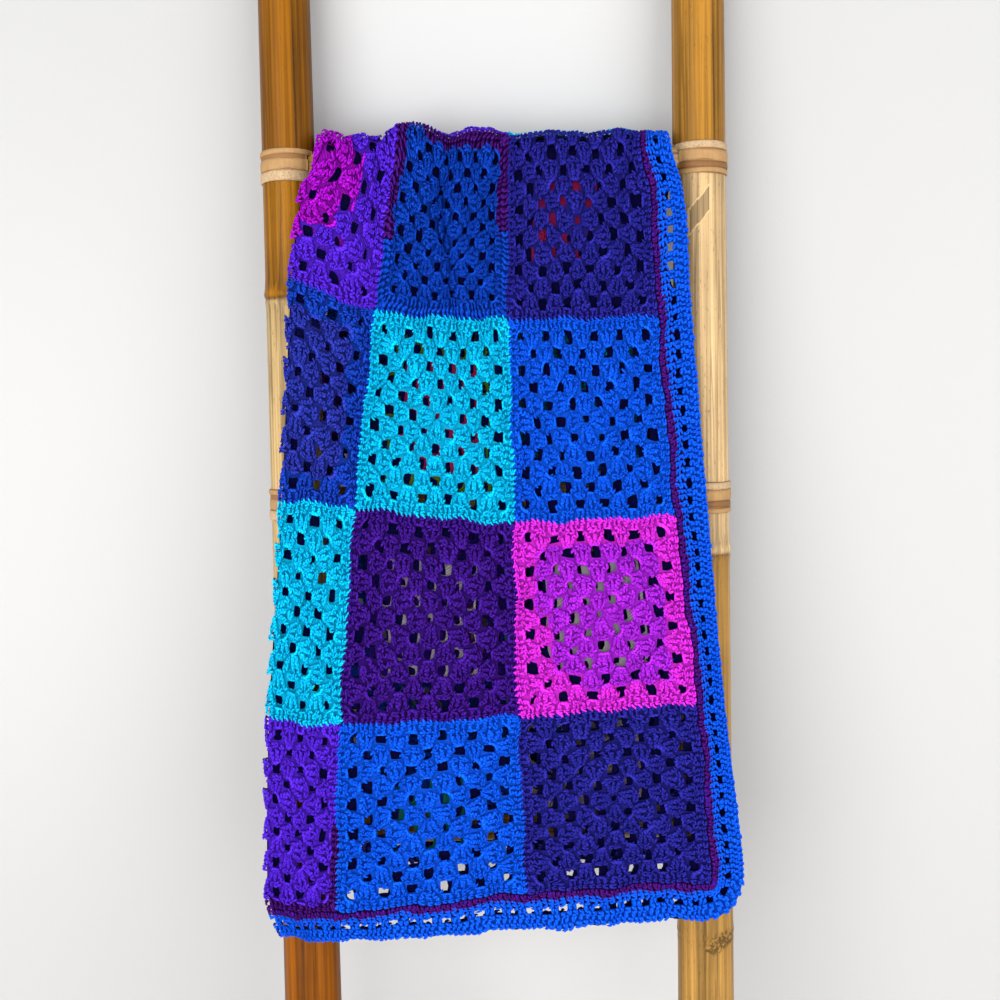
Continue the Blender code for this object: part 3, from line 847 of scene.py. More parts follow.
class LadderSettings(bpy.types.PropertyGroup):
    """The colours of the bamboo and the cane, and how smooth the poles are made."""

    sides: IntProperty(
        name="Sides", description="Faces round each pole", default=48, min=12, max=96,
    )
    honey: color_setting("Honey", "Warm brown bamboo", 124, 80, 8)
    pale: color_setting("Pale", "Pale straw bamboo", 167, 140, 101)
    amber: color_setting("Amber", "Deep golden bamboo", 105, 56, 0)
    golden: color_setting("Golden", "Golden bamboo", 138, 103, 50)
    umber: color_setting("Umber", "Dark warm brown bamboo", 107, 65, 5)
    tawny: color_setting("Tawny", "Warm golden bamboo", 131, 91, 31)
    straw: color_setting("Straw", "Straw bamboo, less pale", 156, 131, 89)
    scar: color_setting("Scar", "Dark lines of the bamboo's nodes", 88, 58, 26)
    cane: color_setting("Cane", "Plain cane of the wraps", 160, 124, 80)
    husk: color_setting("Husk", "Pale rough cane of the wraps", 176, 150, 116)
    bark: color_setting("Bark", "Brown cane of the wraps", 122, 84, 48)
    # Used for the cane's dark specks, and for the lining under the bands: painted shade in their
    # gaps.
    cord: color_setting("Cord", "Dark gaps in the wraps", 128, 88, 44)
    gloss: number_setting("Gloss", "Roughness of the pole's skin", 0.34)


class StageSettings(bpy.types.PropertyGroup):
    """The room, the lights and the camera."""

    wall: color_setting("Wall", "Colour of the wall", 178, 178, 178)
    floor: color_setting("Floor", "Colour of the floor", 225, 222, 218)
    lens: FloatProperty(
        name="Lens", description="Focal length", default=48.0, min=10.0, max=200.0,
        unit="CAMERA",
    )
    key: number_setting(
        "Key light", "Large light at the front left", 66.0, 1000.0, unit="POWER",
    )
    fill: number_setting(
        "Fill light", "Large light at the front right", 44.0, 1000.0, unit="POWER",
    )
    ambient: number_setting("Room light", "Even light from all sides", 1.08, 5.0)


def settings(group):
    """One group of the settings in the panel."""
    return getattr(bpy.context.scene, group)


# ---------------------------------------------------------------- shader maths
class Socket:
    """A shader value or colour that can be used in a Python expression."""

    def __init__(self, tree, output):
        self.tree, self.output = tree, output

    def _math(self, operation, *values):
        return self.tree.node("ShaderNodeMath", {"operation": operation}, *values)

    def __add__(self, other):
        return self._math("ADD", self, other)

    def __radd__(self, other):
        return self._math("ADD", other, self)

    def __sub__(self, other):
        return self._math("SUBTRACT", self, other)

    def __rsub__(self, other):
        return self._math("SUBTRACT", other, self)

    def __mul__(self, other):
        return self._math("MULTIPLY", self, other)

    def __rmul__(self, other):
        return self._math("MULTIPLY", other, self)

    def between(self, low, high):
        """0 below low, 1 above high and smooth between."""
        return self.tree.node(
            "ShaderNodeMapRange", {"interpolation_type": "SMOOTHSTEP"},
            Value=self, **{"From Min": low, "From Max": high},
        )

    def sine(self):
        return self._math("SINE", self)

    def size(self):
        return self._math("ABSOLUTE", self)

    def larger(self, other):
        return self._math("MAXIMUM", self, other)


class Shader:
    """The nodes of one material."""

    def __init__(self, name):
        self.material = bpy.data.materials.new(name)
        self.material.use_nodes = True
        self.nodes = self.material.node_tree.nodes
        self.links = self.material.node_tree.links
        self.surface = self.nodes["Principled BSDF"]

    def set(self, node, key, value):
        """Links a socket to a Socket, or gives it a value."""
        socket = node.inputs[key]
        if isinstance(value, Socket):
            self.links.new(value.output, socket)
        elif socket.type == "RGBA" and len(value) == 3:
            socket.default_value = (*value, 1.0)
        else:
            socket.default_value = value

    def node(self, kind, options=None, *values, output=0, **named):
        """One of a new node's outputs. Its options are set first, then its sockets."""
        node = self.nodes.new(kind)
        for key, value in (options or {}).items():
            setattr(node, key, value)
        for number, value in enumerate(values):
            self.set(node, number, value)
        for key, value in named.items():
            self.set(node, key, value)
        return Socket(self, node.outputs[output])

    def axes(self, place):
        """The three parts of a place."""
        parts = self.node("ShaderNodeSeparateXYZ", None, place)
        return [Socket(self, output) for output in parts.output.node.outputs]

    def mix(self, factor, first, second):
        """A mix of two colours."""
        mixed = self.node("ShaderNodeMix", {"data_type": "RGBA", "clamp_factor": True}, output=2)
        for number, value in ((0, factor), (6, first), (7, second)):
            self.set(mixed.output.node, number, value)
        return mixed

    def times(self, color, value):
        """A colour made brighter or darker."""
        return self.node(
            "ShaderNodeVectorMath", {"operation": "SCALE"}, Vector=color, Scale=value,
        )

    def noise(self, place, scale, detail, rough=0.5):
        """Noise from 0 to 1 over a place."""
        return self.node(
            "ShaderNodeTexNoise", None,
            Vector=place, Scale=scale, Detail=detail, Roughness=rough,
        )

    def surface_set(self, **named):
        """Sets sockets of the surface, with _ for each space in their names."""
        for key, value in named.items():
            self.set(self.surface, key.replace("_", " "), value)

    def bump(self, height, distance, strength):
        """Bumps on the surface; a height of 1 is the distance."""
        normal = self.node(
            "ShaderNodeBump", None, Height=height, Distance=distance, Strength=strength,
        )
        self.set(self.surface, "Normal", normal)


PLIES = 3               # in each strand of yarn


def yarn_material(name, kind="yarn"):
    """The yarn itself, or a darker copy of it that paints the shade: for the core inside its
    stitches or for the web under them.
    """
    found = bpy.data.materials.get(f"{kind}_{name}")
    if found:
        return found
    yarn = settings("blanket_yarn")
    shader = Shader(f"{kind}_{name}")
    color = getattr(settings("blanket_yarns"), name)
    # The darker copies paint shade; those of bright yarns are darkened less.
    shade = SHADES[kind] if kind == "yarn" else SHADES[kind] * (0.85 + 0.90 * max(color))
    color = tuple(part * shade for part in color)
    strand = shader.node("ShaderNodeUVMap", {"uv_map": "strand"})
    along, around, _ = shader.axes(strand)
    place = shader.node("ShaderNodeNewGeometry")
    turn = along * (math.tau / yarn.ply_length) + around * (PLIES * math.tau)
    ply = 0.5 + 0.5 * turn.sine()
    fuzz = shader.noise(place, 900.0, 3.0, 0.65)
    patch = shader.noise(place, 120.0, 2.0)
    # The ply stripes darken the grooves and lighten the crests of the plies: painted shade and
    # highlight. Fuzz and patch vary the tone at random.
    light = (0.70 + 0.46 * ply) * (0.77 + 0.46 * fuzz) * (0.82 + 0.36 * patch)
    soft = shader.times(color, light)
    # Where the fuzz is high on the ply crests: painted highlights in this lighter tint, which the
    # sheen takes too.
    highlight_tint = tuple(min(1.4 * part + 0.012, 1.0) for part in color)
    highlighted = shader.mix((fuzz - 0.55).between(0.0, 0.12) * ply * 0.7, soft, highlight_tint)
    shader.surface_set(
        Base_Color=highlighted, Roughness=yarn.roughness, Sheen_Weight=yarn.sheen,
        Sheen_Roughness=0.5, Sheen_Tint=highlight_tint, Specular_IOR_Level=0.03,
    )
    shader.bump(ply + fuzz * 0.8, yarn.ply_depth, 0.9)
    return shader.material


def bamboo_material(name, rough, scars=(), knots=()):
    """The colour comes from the pole's own "tint", broken by streaks along the grain."""
    ladder = settings("blanket_ladder")
    shader = Shader(name)
    tint = shader.node("ShaderNodeAttribute", {"attribute_name": "tint"})
    place = shader.node("ShaderNodeTexCoord", output=3)
    along = shader.node(
        "ShaderNodeMapping", None, Vector=place, Scale=(1.0, 1.0, 0.012),
    )
    fine = shader.noise(along, 700.0, 3.0, 0.6)
    middling = shader.noise(along, 300.0, 2.0, 0.5)
    broad = shader.noise(along, 80.0, 2.0, 0.5)
    blotch = shader.noise(place, 22.0, 3.0, 0.55)
    pores = shader.noise(
        shader.node("ShaderNodeMapping", None, Vector=place, Scale=(1.0, 1.0, 0.18)), 900.0, 1.0,
    )
    light = fine * 1.30 + middling * 1.80 + broad * 1.70 + blotch * 0.50 - 1.60
    light = light.larger(0.35)
    body = shader.times(tint, light)
    dark = (pores - 0.66).between(0.0, 0.05) * 0.45
    streak = (middling - 0.58).between(0.0, 0.08) * 0.45
    crack = 1.0 - (broad - 0.52).size().between(0.004, 0.016)
    body = shader.mix(dark, body, tuple(ladder.scar))
    body = shader.mix(streak, body, shader.times(tint, 1.7))
    body = shader.mix(crack * 0.45, body, shader.times(tint, 0.35))
    parts = shader.axes(place)
    for scar in scars:
        body = scarred(shader, body, tint, (fine, middling), parts, scar)
    for knot in knots:
        body = gnarled(shader, body, tint, place, parts, knot)
    shader.surface_set(
        Base_Color=body, Roughness=rough + fine * 0.16 - 0.08, Coat_Weight=0.03,
        Coat_Roughness=0.22, Specular_IOR_Level=0.08,
    )
    shader.bump(fine * 0.6 + middling * 0.4, 0.0005, 0.6)
    return shader.material


def scarred(shader, body, tint, grain, place, scar):
    """A slanted patch on the front of a pole where the skin has come off, with a pale rim."""
    x, y, z = place
    fine, middling = grain
    middle, height, half_wide, half_tall, slant = scar
    across = (x - middle) * (1.0 / half_wide)
    up = (z - height - (x - middle) * slant + (middling - 0.5) * 0.006) * (1.0 / half_tall)
    from_middle = across.size().larger(up.size())
    front = (y * -1.0).between(0.0, 0.003)
    inside = (1.0 - from_middle.between(0.90, 1.0)) * front
    rim = (1.0 - (from_middle - 1.02).size().between(0.05, 0.13)) * front
    body = shader.mix(inside * 0.85, body, shader.times(tint, fine * 1.3 - 0.12))
    return shader.mix(rim * 0.8, body, shader.times(tint, 1.55))


def gnarled(shader, body, tint, place, parts, knot):
    """An oval knot where a side branch grew: its fibres swirl, dark ones against pale ones."""
    x, y, z = parts
    middle, height, half_wide, half_tall, slant = knot
    across = (x - middle) * (1.0 / half_wide)
    up = (z - height - (x - middle) * slant) * (1.0 / half_tall)
    swirl = shader.noise(place, 360.0, 3.0, 0.65)
    edge = shader.noise(place, 210.0, 2.0, 0.5)
    reach = across * across + up * up + (edge - 0.5) * 2.0
    inside = (1.0 - reach.between(0.55, 1.35)) * (y * -1.0).between(0.0, 0.003)
    body = shader.mix(inside * 0.55, body, shader.times(tint, 0.66))
    dark = inside * (1.0 - swirl.between(0.44, 0.53)) * 0.85
    body = shader.mix(dark, body, shader.times(tint, 0.30))
    return shader.mix(inside * swirl.between(0.56, 0.64) * 0.75, body, shader.times(tint, 1.60))


def cane_material(name, color, rough):
    """Cane whose fibres run along the band; a higher rough speckles it."""
    ladder = settings("blanket_ladder")
    shader = Shader(name)
    strand = shader.node("ShaderNodeUVMap", {"uv_map": "strand"})
    along = shader.node("ShaderNodeMapping", None, Vector=strand, Scale=(40.0, 9.0, 1.0))
    fibre = shader.noise(along, 6.0, 3.0, 0.6)
    patch = shader.noise(shader.node("ShaderNodeTexCoord", output=3), 120.0, 2.0)
    speck = shader.noise(shader.node("ShaderNodeTexCoord", output=3), 650.0, 2.0)
    body = shader.times(tuple(color), 0.55 + fibre * 0.50 + patch * 0.40)
    body = shader.mix((fibre - 0.58).between(0.0, 0.10) * 0.5, body, tuple(ladder.honey))
    body = shader.mix((speck - 0.55).between(0.0, 0.08) * rough, body, tuple(ladder.cord))
    shader.surface_set(Base_Color=body, Roughness=0.6, Specular_IOR_Level=0.25)
    shader.bump(fibre + speck * rough, 0.0005, 0.7)
    return shader.material


def plain_material(name, color, roughness):
    """One colour all over."""
    shader = Shader(name)
    shader.surface_set(Base_Color=tuple(color), Roughness=roughness)
    return shader.material


# ---------------------------------------------------------------- which yarn goes where
def rounds(runs):
    """Yarns of the six rounds from the middle out, from "yarn, how many rounds" in turn."""
    words = runs.split()
    return [yarn for yarn, count in zip(words[::2], words[1::2]) for _ in range(int(count))]


# Rows from the front hem over the rung to the back hem, each with the squares of the outer
# layer from the fold to the edge, then those of the inner layer from the fold to its edge.
# Inner squares are drawn in darker yarn copies, the front's mostly in ink: painted shade.
SQUARES = (
    # the front, hem first
    ("violet 6", "royal 6", "indigo 6", "teal 2 ink 4", "ink 6"),
    ("cyan 6", "plum 6", "orchid 4 pink 2", "grey 3 ink 2 teal 1", "grey 3 ink 3"),
    ("navy 4 deep_blue 2", "cyan 6", "royal 6", "crimson 3 lime 1 ink 2", "ink 6"),
    ("magenta 3 violet 3", "mid_blue 5 maroon 1", "indigo 6", "ink 6", "crimson 2 ink 4"),
    # the back, rung first
    ("royal 6", "violet 6", "cyan 6", "navy 6", "indigo 6"),
    ("plum 6", "indigo 4 mid_blue 2", "magenta 6", "royal 6", "cyan 6"),
    ("mid_blue 6", "pink 3 orchid 3", "navy 6", "violet 6", "plum 6"),
    ("indigo 6", "cyan 6", "royal 3 violet 3", "mid_blue 6", "grey 4 ink 2"),
)
# The next three tables name a square by its row and its column, counted from the fold.
# Yarn of a square's lower edge where it isn't the last round's.
LOWER_EDGES = {(3, 1): "mid_blue", (0, 0): "maroon"}
# How small the first five rounds are where a square is drawn in.
DRAWN_IN = {(3, 1): 0.905}
# Where a square's yarn changes before its round is full: the round and its clusters, in loops,
# that already have the next round's yarn.
EARLY = {
    (3, 0): (3, ((1, 3), (2, 3), (3, 3), (3, 2), (1, -3), (2, -3), (3, -3), (3, -2))),
    (1, 2): (4, ((-4, 0), (-4, -1), (-4, -2), (-4, -3), (-4, -4), (-3, -4), (-2, -4))),
}
# How bright the yarn is: in full view, and in the darker copies for the cores of stitches
# and for the web under them, which paint the shade there.
SHADES = {"yarn": 0.965, "core": 0.46, "web": 0.33}
BORDER_DARK = "maroon"
BORDER_BLUE = "royal"
BORDER_DOT = "magenta"
# The inner layer's border is in these dark yarns, drawn in darker copies: painted shade.
BORDER_SHADED = ("ink", "navy", "ink")


def square_yarns(row, column):
    """A square's yarns by mark. Columns 0 to 4 go across the flat blanket, and the fold runs
    down column 2."""
    yarns = rounds(SQUARES[row][column - 2 if column >= 2 else 4 - column])
    lower = LOWER_EDGES.get((row, column - 2), yarns[-1])
    marks = [YARNS.index(yarn) for yarn in (yarns[0], *yarns, lower)]
    # Then the same yarns' darker copies for painted shade, and ink for the patch in closed gaps.
    return marks + [mark + len(YARNS) for mark in marks] + [YARNS.index("ink")]


def marked_material(mark):
    """The material of a yarn, or for marks past the yarns its darker copy: painted shade."""
    if mark < len(YARNS):
        return yarn_material(YARNS[mark])
    return yarn_material(YARNS[mark - len(YARNS)], "core")


@lru_cache
def the_cloth():
    """The hung blanket, worked out once."""
    return Cloth()


def square_middle(row, column):
    """Where a square's middle is in the flat blanket."""
    return np.array((EDGING + SQUARE * (column + 0.5), EDGING + SQUARE * (row + 0.5), 0.0))


def drawn_in(points, row, column):
    """The first five rounds of some squares are a little smaller."""
    size = DRAWN_IN.get((row, column - 2), 1.0)
    from_middle = np.abs(points[:, :2]).max(1) / LOOP
    shrink = size + (1.0 - size) * ease((from_middle - ROUNDS - 0.6) / 0.4)
    return points * np.c_[shrink, shrink, np.ones(len(points))]


def changed_early(marks, places, row, column):
    """Marks with the clusters that already have the next round's yarn."""
    ring, clusters = EARLY.get((row, column - 2), (0, ()))
    for cluster in clusters:
        near = np.abs(places[:, :2] / LOOP - cluster).max(1) < 0.8
        marks = np.where(near & (marks % SHADED == ring), marks + 1, marks)
    return marks


LOOSE = (0.00026, 0.00026, 0.00018)     # how far a square's stitches are out of place


def lay(arrays, row, column, random):
    """Moves a square to its place in the flat blanket, gives it its yarns and loosens it."""
    arrays = dict(arrays)
    groups = arrays["groups"]
    loose = random.normal(0.0, 1.0, (groups.max() + 1, 3)) * LOOSE
    middles = np.stack([np.bincount(groups, arrays["points"][:, k]) for k in (0, 1)], 1)
    middles = middles / np.maximum(np.bincount(groups), 1)[:, None]
    of_faces = groups[np.r_[arrays["quads"][:, 0], arrays["triangles"][:, 0]]]
    marks = changed_early(arrays["marks"], middles[of_faces], row, column)
    points = drawn_in(arrays["points"], row, column)
    arrays["points"] = points + square_middle(row, column) + loose[groups]
    arrays["marks"] = np.array(square_yarns(row, column))[marks]
    return arrays


def crocheted(name, sets):
    """One piece from the laid out sets of stitches."""
    whole = joined(sets)
    used, whole["marks"] = np.unique(whole["marks"], return_inverse=True)
    whole["points"] = the_cloth().place(whole["points"])
    return make_piece(name, whole, [marked_material(mark) for mark in used])


# ---------------------------------------------------------------- the border
CORNER_RUN = 0.026      # how far round a corner counts in the border's length
SIDES = (               # start, direction and outward way of each straight side, flat
    ((EDGING, 0.0), (1.0, 0.0), (0.0, -1.0), WIDE - 2 * EDGING),
    ((WIDE, EDGING), (0.0, 1.0), (1.0, 0.0), LONG - 2 * EDGING),
    ((WIDE - EDGING, LONG), (-1.0, 0.0), (0.0, 1.0), WIDE - 2 * EDGING),
    ((0.0, LONG - EDGING), (0.0, -1.0), (-1.0, 0.0), LONG - 2 * EDGING),
)
BORDER_RUN = sum(side[3] for side in SIDES) + 4 * CORNER_RUN


def border_place(run, inset):
    """Flat places along the border, counted round the blanket, with the way along and out."""
    run = run % BORDER_RUN
    place = np.zeros((len(run), 2))
    along = np.zeros_like(place)
    out = np.zeros_like(place)
    inset = np.broadcast_to(inset, len(run))[:, None]
    start = 0.0
    for (corner, way, outward, length) in SIDES:
        corner, way, outward = np.array(corner), np.array(way), np.array(outward)
        on = (run >= start) & (run < start + length)
        place[on] = corner + way * (run[on] - start)[:, None] - outward * inset[on]
        along[on], out[on] = way, outward
        start += length
        on = (run >= start) & (run < start + CORNER_RUN)
        angle = ((run[on] - start) / CORNER_RUN * math.pi / 2)[:, None]
        turn_out = outward * np.cos(angle) + way * np.sin(angle)
        middle = corner + way * length - outward * EDGING
        place[on] = middle + turn_out * (EDGING - inset[on])
        out[on] = turn_out
        along[on] = way * np.cos(angle) - outward * np.sin(angle)
        start += CORNER_RUN
    return place, along, out


GAP_PITCH = 0.0143
BAR = 0.0037            # half the width of the bar between two gaps
FIRST_RUN = FOLD - EDGING
LAST_RUN = WIDE - 2 * EDGING + CORNER_RUN + LONG - 2 * EDGING + CORNER_RUN + FIRST_RUN


def bar_runs():
    """Middles of the bars between the gaps, all round the border from the front fold on."""
    count = round(BORDER_RUN / GAP_PITCH)
    return FIRST_RUN + (np.arange(count) + 0.5) * BORDER_RUN / count


def flat_points(place, height):
    """Flat places with their height over the cloth's face."""
    return np.c_[place, np.broadcast_to(height, len(place))]


# ---------------------------------------------------------------- the web under the stitches
# The web is drawn in darker copies of the yarns: painted shade in the gaps between the stitches.
WEB_HEIGHT = -0.0017
WEB_TURNS = 160.0       # the web has no strands: its ply pattern turns this often in a metre
# The share of gaps that are closed with a dark patch, painted shade of the hole, in the inner
# squares, by row and column of the flat blanket, and in the inner half of the fold's squares,
# by row.
CLOSINGS = {(3, 0): 1.0, (3, 1): 1.0, (4, 0): 1.0, (4, 1): 1.0, (0, 0): 0.15, (1, 1): 0.2}
OTHER_CLOSINGS = 0.5
FOLD_CLOSINGS = {0: 0.8, 1: 0.9, 3: 1.0, 4: 1.0}


# Half width, half depth and taper of the gaps, in loops.
MIDDLE_GAP, CORNER_GAP, SIDE_GAP = (0.20, 0.20, 0.0), (0.30, 0.30, 0.0), (0.38, 0.34, 0.14)
# The eight points of a gap, in halves of its width and depth.
GAP_ACROSS = (1.0, 0.82, 0.0, -0.82, -1.0, -0.82, 0.0, 0.82)
GAP_OUT = (0.0, 0.92, 1.0, 0.92, 0.0, -0.92, -1.0, -0.92)
SHUT_AT_FOLD = range(-2, 1)     # loops across the fold's squares whose gaps are all shut
RIM = (                         # the eight points of the cell round a gap, in loops
    (0.5, 0.0), (0.5, 0.5), (0.0, 0.5), (-0.5, 0.5), (-0.5, 0.0), (-0.5, -0.5), (0.0, -0.5),
    (0.5, -0.5),
)


def ring_of(i, j):
    """The round that a place belongs to, given in loops."""
    return min(int(max(abs(i), abs(j)) + 0.5), LAST_ROUND)


def gap_shape(i, j, random, folded, closing):
    """Eight points round the gap at (i, j), wider on its inner side and uneven, and whether
    it is closed off: the gaps at the fold are, and some of the inner squares'."""
    if i == j == 0:
        wide, deep, taper = MIDDLE_GAP
    elif abs(i) == abs(j):
        wide, deep, taper = CORNER_GAP
    else:
        wide, deep, taper = SIDE_GAP
    wide, deep = wide * random.uniform(0.80, 1.08), deep * random.uniform(0.84, 1.12)
    chance = random.random()
    closed = (not folded or i < 1) and chance < closing or folded and i in SHUT_AT_FOLD
    across, out = np.array(GAP_ACROSS), np.array(GAP_OUT)
    shape = np.stack((across * wide * (1 - taper * out), out * deep), 1)
    if abs(i) > abs(j):
        side = 3 if i > 0 else 1
    else:
        side = 0 if j >= 0 else 2
    return np.roll(turn_points(shape, side), 2 * side, axis=0), closed


def web_square(random, folded, closing):
    """A square's thin web in loops, with an eight-sided hole at each of its gaps."""
    points, faces, marks = [], [], []

    def add(corners, mark):
        first = len(points)
        points.extend(corners)
        faces.append(tuple(range(first, len(points))))
        marks.append(mark)

    for i in range(-ROUNDS, ROUNDS + 1):
        for j in range(-ROUNDS, ROUNDS + 1):
            mark = ring_of(i, j)
            rim = [(i + x, j + y) for x, y in RIM]
            if (i + j) % 2 == 0:
                shape, closed = gap_shape(i, j, random, folded, closing)
                inner = [(i + x, j + y) for x, y in shape]
                for k in range(8):
                    after = (k + 1) % 8
                    add((rim[k], rim[after], inner[after], inner[k]), mark)
                # A closed gap is filled with a dark patch: painted shade of the hole.
                for k in (0, 2, 4, 6) if closed else ():
                    add((inner[k], inner[k + 1], inner[(k + 2) % 8], (i, j)), HOLE_SHADE)
            else:
                for k in (1, 3, 5, 7):
                    add((rim[k], rim[(k + 1) % 8], (i, j), rim[k - 1]), mark)
    # The strip under the last round, with mitred corners.
    edge, outside = ROUNDS + 0.5, ROUNDS + 1.0
    steps = [k / 2 for k in range(-2 * ROUNDS - 1, 2 * ROUNDS + 2)]
    for quarter in range(4):
        for low, high in zip(steps, steps[1:]):
            start, end = (-outside if low == -edge else low), (outside if high == edge else high)
            strip = np.array(((low, edge), (high, edge), (end, outside), (start, outside)))
            mark = LAST_ROUND + int(is_lower(low, quarter))
            add([tuple(point) for point in turn_points(strip, quarter)], mark)
    places, index = np.unique(np.round(np.array(points), 4), axis=0, return_inverse=True)
    index = index.ravel()
    return places * LOOP, index[np.array(faces)], np.array(marks)


def inner_side(runs):
    """Which places lie on the inner layer's long side, where the border is covered."""
    start = LAST_RUN + WIDE - 2 * EDGING - FIRST_RUN
    return (runs > start) & (runs < BORDER_RUN)


NO_BARS = (0.08, 0.331)         # from where to where along the border its bars are left out


def inner_hem(runs):
    """Which places lie on the part of the inner layer's hem without bars."""
    runs = runs % BORDER_RUN
    return (runs > NO_BARS[0]) & (runs < NO_BARS[1])


WEB_INSETS = (EDGING, 0.0172, 0.0119, 0.0010)   # the border's web: its sides and its gaps' ends


def web_border():
    """The border's thin web, with its gaps left out."""
    bars = bar_runs()
    runs = np.sort(np.r_[bars - BAR, bars + BAR])
    lines = [flat_points(border_place(runs, inset)[0], WEB_HEIGHT) for inset in WEB_INSETS]
    count = len(runs)
    here, after = np.arange(count), (np.arange(count) + 1) % count
    faces, marks = [], []
    for row in range(3):
        quad = np.stack((
            row * count + here, row * count + after, (row + 1) * count + after,
            (row + 1) * count + here,
        ), -1)
        if row == 1:
            quad = quad[(here % 2 == 0) & ~inner_hem(runs) | inner_side(runs)]
        faces.append(quad)
        mark = np.full(len(runs), YARNS.index(BORDER_BLUE if row else BORDER_DARK))
        # The inner layer's border web is in ink: painted shade between the layers.
        mark[runs > LAST_RUN] = YARNS.index("ink")
        marks.append(mark[quad[:, 0] % count])
    return np.concatenate(lines), np.concatenate(faces), np.concatenate(marks)


class WebBlanket(bpy.types.Operator):
    """Lay the thin web that the stitches sit on, in darker yarn copies that paint the shade
    between them
    """

    bl_idname = "blanket.web"
    bl_label = "Web"

    def execute(self, context):
        random = np.random.default_rng(3)
        points, quads, colors = [], [], []
        count = 0
        for row in range(ROWS):
            for column in range(COLUMNS):
                folded, closing = column == COLUMNS // 2, 0.0
                if folded:
                    closing = FOLD_CLOSINGS.get(row, 0.0)
                elif column < COLUMNS // 2:
                    closing = CLOSINGS.get((row, column), OTHER_CLOSINGS)
                places, faces, marks = web_square(random, folded, closing)
                quads.append(faces + count)
                marks = changed_early(marks, places[faces].mean(1), row, column)
                places = drawn_in(flat_points(places, WEB_HEIGHT), row, column)
                points.append(places + square_middle(row, column))
                colors.append(np.array(square_yarns(row, column))[marks])
                count += len(places)
        places, faces, marks = web_border()
        points.append(places)
        quads.append(faces + count)
        colors.append(marks)
        flat, faces = np.concatenate(points), np.concatenate(quads)
        used, marks = np.unique(np.concatenate(colors), return_inverse=True)
        arrays = {
            "points": the_cloth().place(flat),
            "quads": faces,
            "triangles": np.zeros((0, 3), int),
            "marks": marks,
            "strand": (flat[:, :2] * (1.0, WEB_TURNS))[faces.ravel()],
        }
        # Darker copies of the yarns: painted shade between the stitches.
        materials = [yarn_material(YARNS[mark], "web") for mark in used]
        thing = make_piece("web", arrays, materials)
        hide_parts("joined_squares")
        return {"FINISHED"}


FINE_REACH = 0.014      # how far round the fold the fine stitches go


class CrochetSquares(bpy.types.Operator):
    """Crochet the granny squares, round by round"""

    bl_idname = "blanket.squares"
    bl_label = "Granny squares"

    def execute(self, context):
        random = np.random.default_rng(41)
        for side, rows, detail in (("front", range(4), FINE), ("back", range(4, 8), PLAIN)):
            fold, hidden = [], []
            for row in rows:
                whole = lay(square_template(detail, random), row, 2, random)
                fold.append(part_of(whole, lambda middles: middles[:, 0] >= FOLD - FINE_REACH))
                whole = lay(square_template(HIDDEN, random), row, 2, random)
                hidden.append(part_of(whole, lambda middles: middles[:, 0] < FOLD - FINE_REACH))
            things = [crocheted(f"squares_{side}_fold", fold)]
            for column, name in ((3, "middle"), (4, "edge")):
                sets = [lay(square_template(detail, random), row, column, random) for row in rows]
                things.append(crocheted(f"squares_{side}_{name}", sets))
            for row in rows:
                for column in (0, 1):
                    hidden.append(lay(square_template(HIDDEN, random), row, column, random))
            things.append(crocheted(f"squares_{side}_inside", hidden))
        return {"FINISHED"}


SEAM_START, SEAM_SHORT = 0.003, 0.001   # how far from a square's corners a seam starts and ends
SEAM_FROM_FOLD = 0.002
SEAM_SLANT = 0.0017     # how far a stitch's ends are shifted along the seam
SEAM_REACH = 0.0021     # how far they are from it
SEAM_HEIGHT = 0.0013
SEAM_BOW = 0.0012
SEAM_RADIUS = 0.0009


class SewSeams(bpy.types.Operator):
    """Sew the squares together with slanted stitches"""

    bl_idname = "blanket.seams"
    bl_label = "Seams"

    pitch: FloatProperty(
        name="Pitch", description="Distance between the stitches",
        default=0.0056, min=0.003, max=0.02, precision=4, unit="LENGTH",
    )

    def brighter(self, *places):
        """The lighter of the yarns on both sides of a seam."""
        marks = [square_yarns(*place)[LAST_ROUND] for place in places]
        return max(marks, key=lambda mark: sum(getattr(settings("blanket_yarns"), YARNS[mark])))

    def execute(self, context):
        random = np.random.default_rng(7)
        yarn = Yarn()
        run = np.arange(SEAM_START, SQUARE - SEAM_SHORT, self.pitch)
        group = 0
        for column in range(COLUMNS // 2, COLUMNS):
            for row in range(ROWS):
                seams = []
                if column > COLUMNS // 2:
                    seams.append(((0.0, 1.0), (row, column - 1)))
                if row > 0:
                    seams.append(((1.0, 0.0), (row - 1, column)))
                start = square_middle(row, column)[:2] - SQUARE / 2
                for way, beside in seams:
                    along = np.array(way)
                    away = np.array((along[1], -along[0]))
                    at = run + random.normal(0.0, 0.0004, len(run))
                    middle = start + at[:, None] * along
                    middle = middle[middle[:, 0] > FOLD + SEAM_FROM_FOLD]
                    uneven = random.normal(0.0, 0.0005, (len(middle), 1))
                    slant = along * SEAM_SLANT + uneven * along
                    near = flat_points(middle - away * SEAM_REACH - slant, SEAM_HEIGHT)
                    far = flat_points(middle + away * SEAM_REACH + slant, SEAM_HEIGHT)
                    mark = self.brighter((row, column), beside)
                    lines = single(near, far, 5, SEAM_BOW)
                    yarn.add(lines, SEAM_RADIUS, mark, group + np.arange(len(middle)))
                    group += len(middle)
        thing = crocheted("seams", [yarn.arrays()])
        return {"FINISHED"}


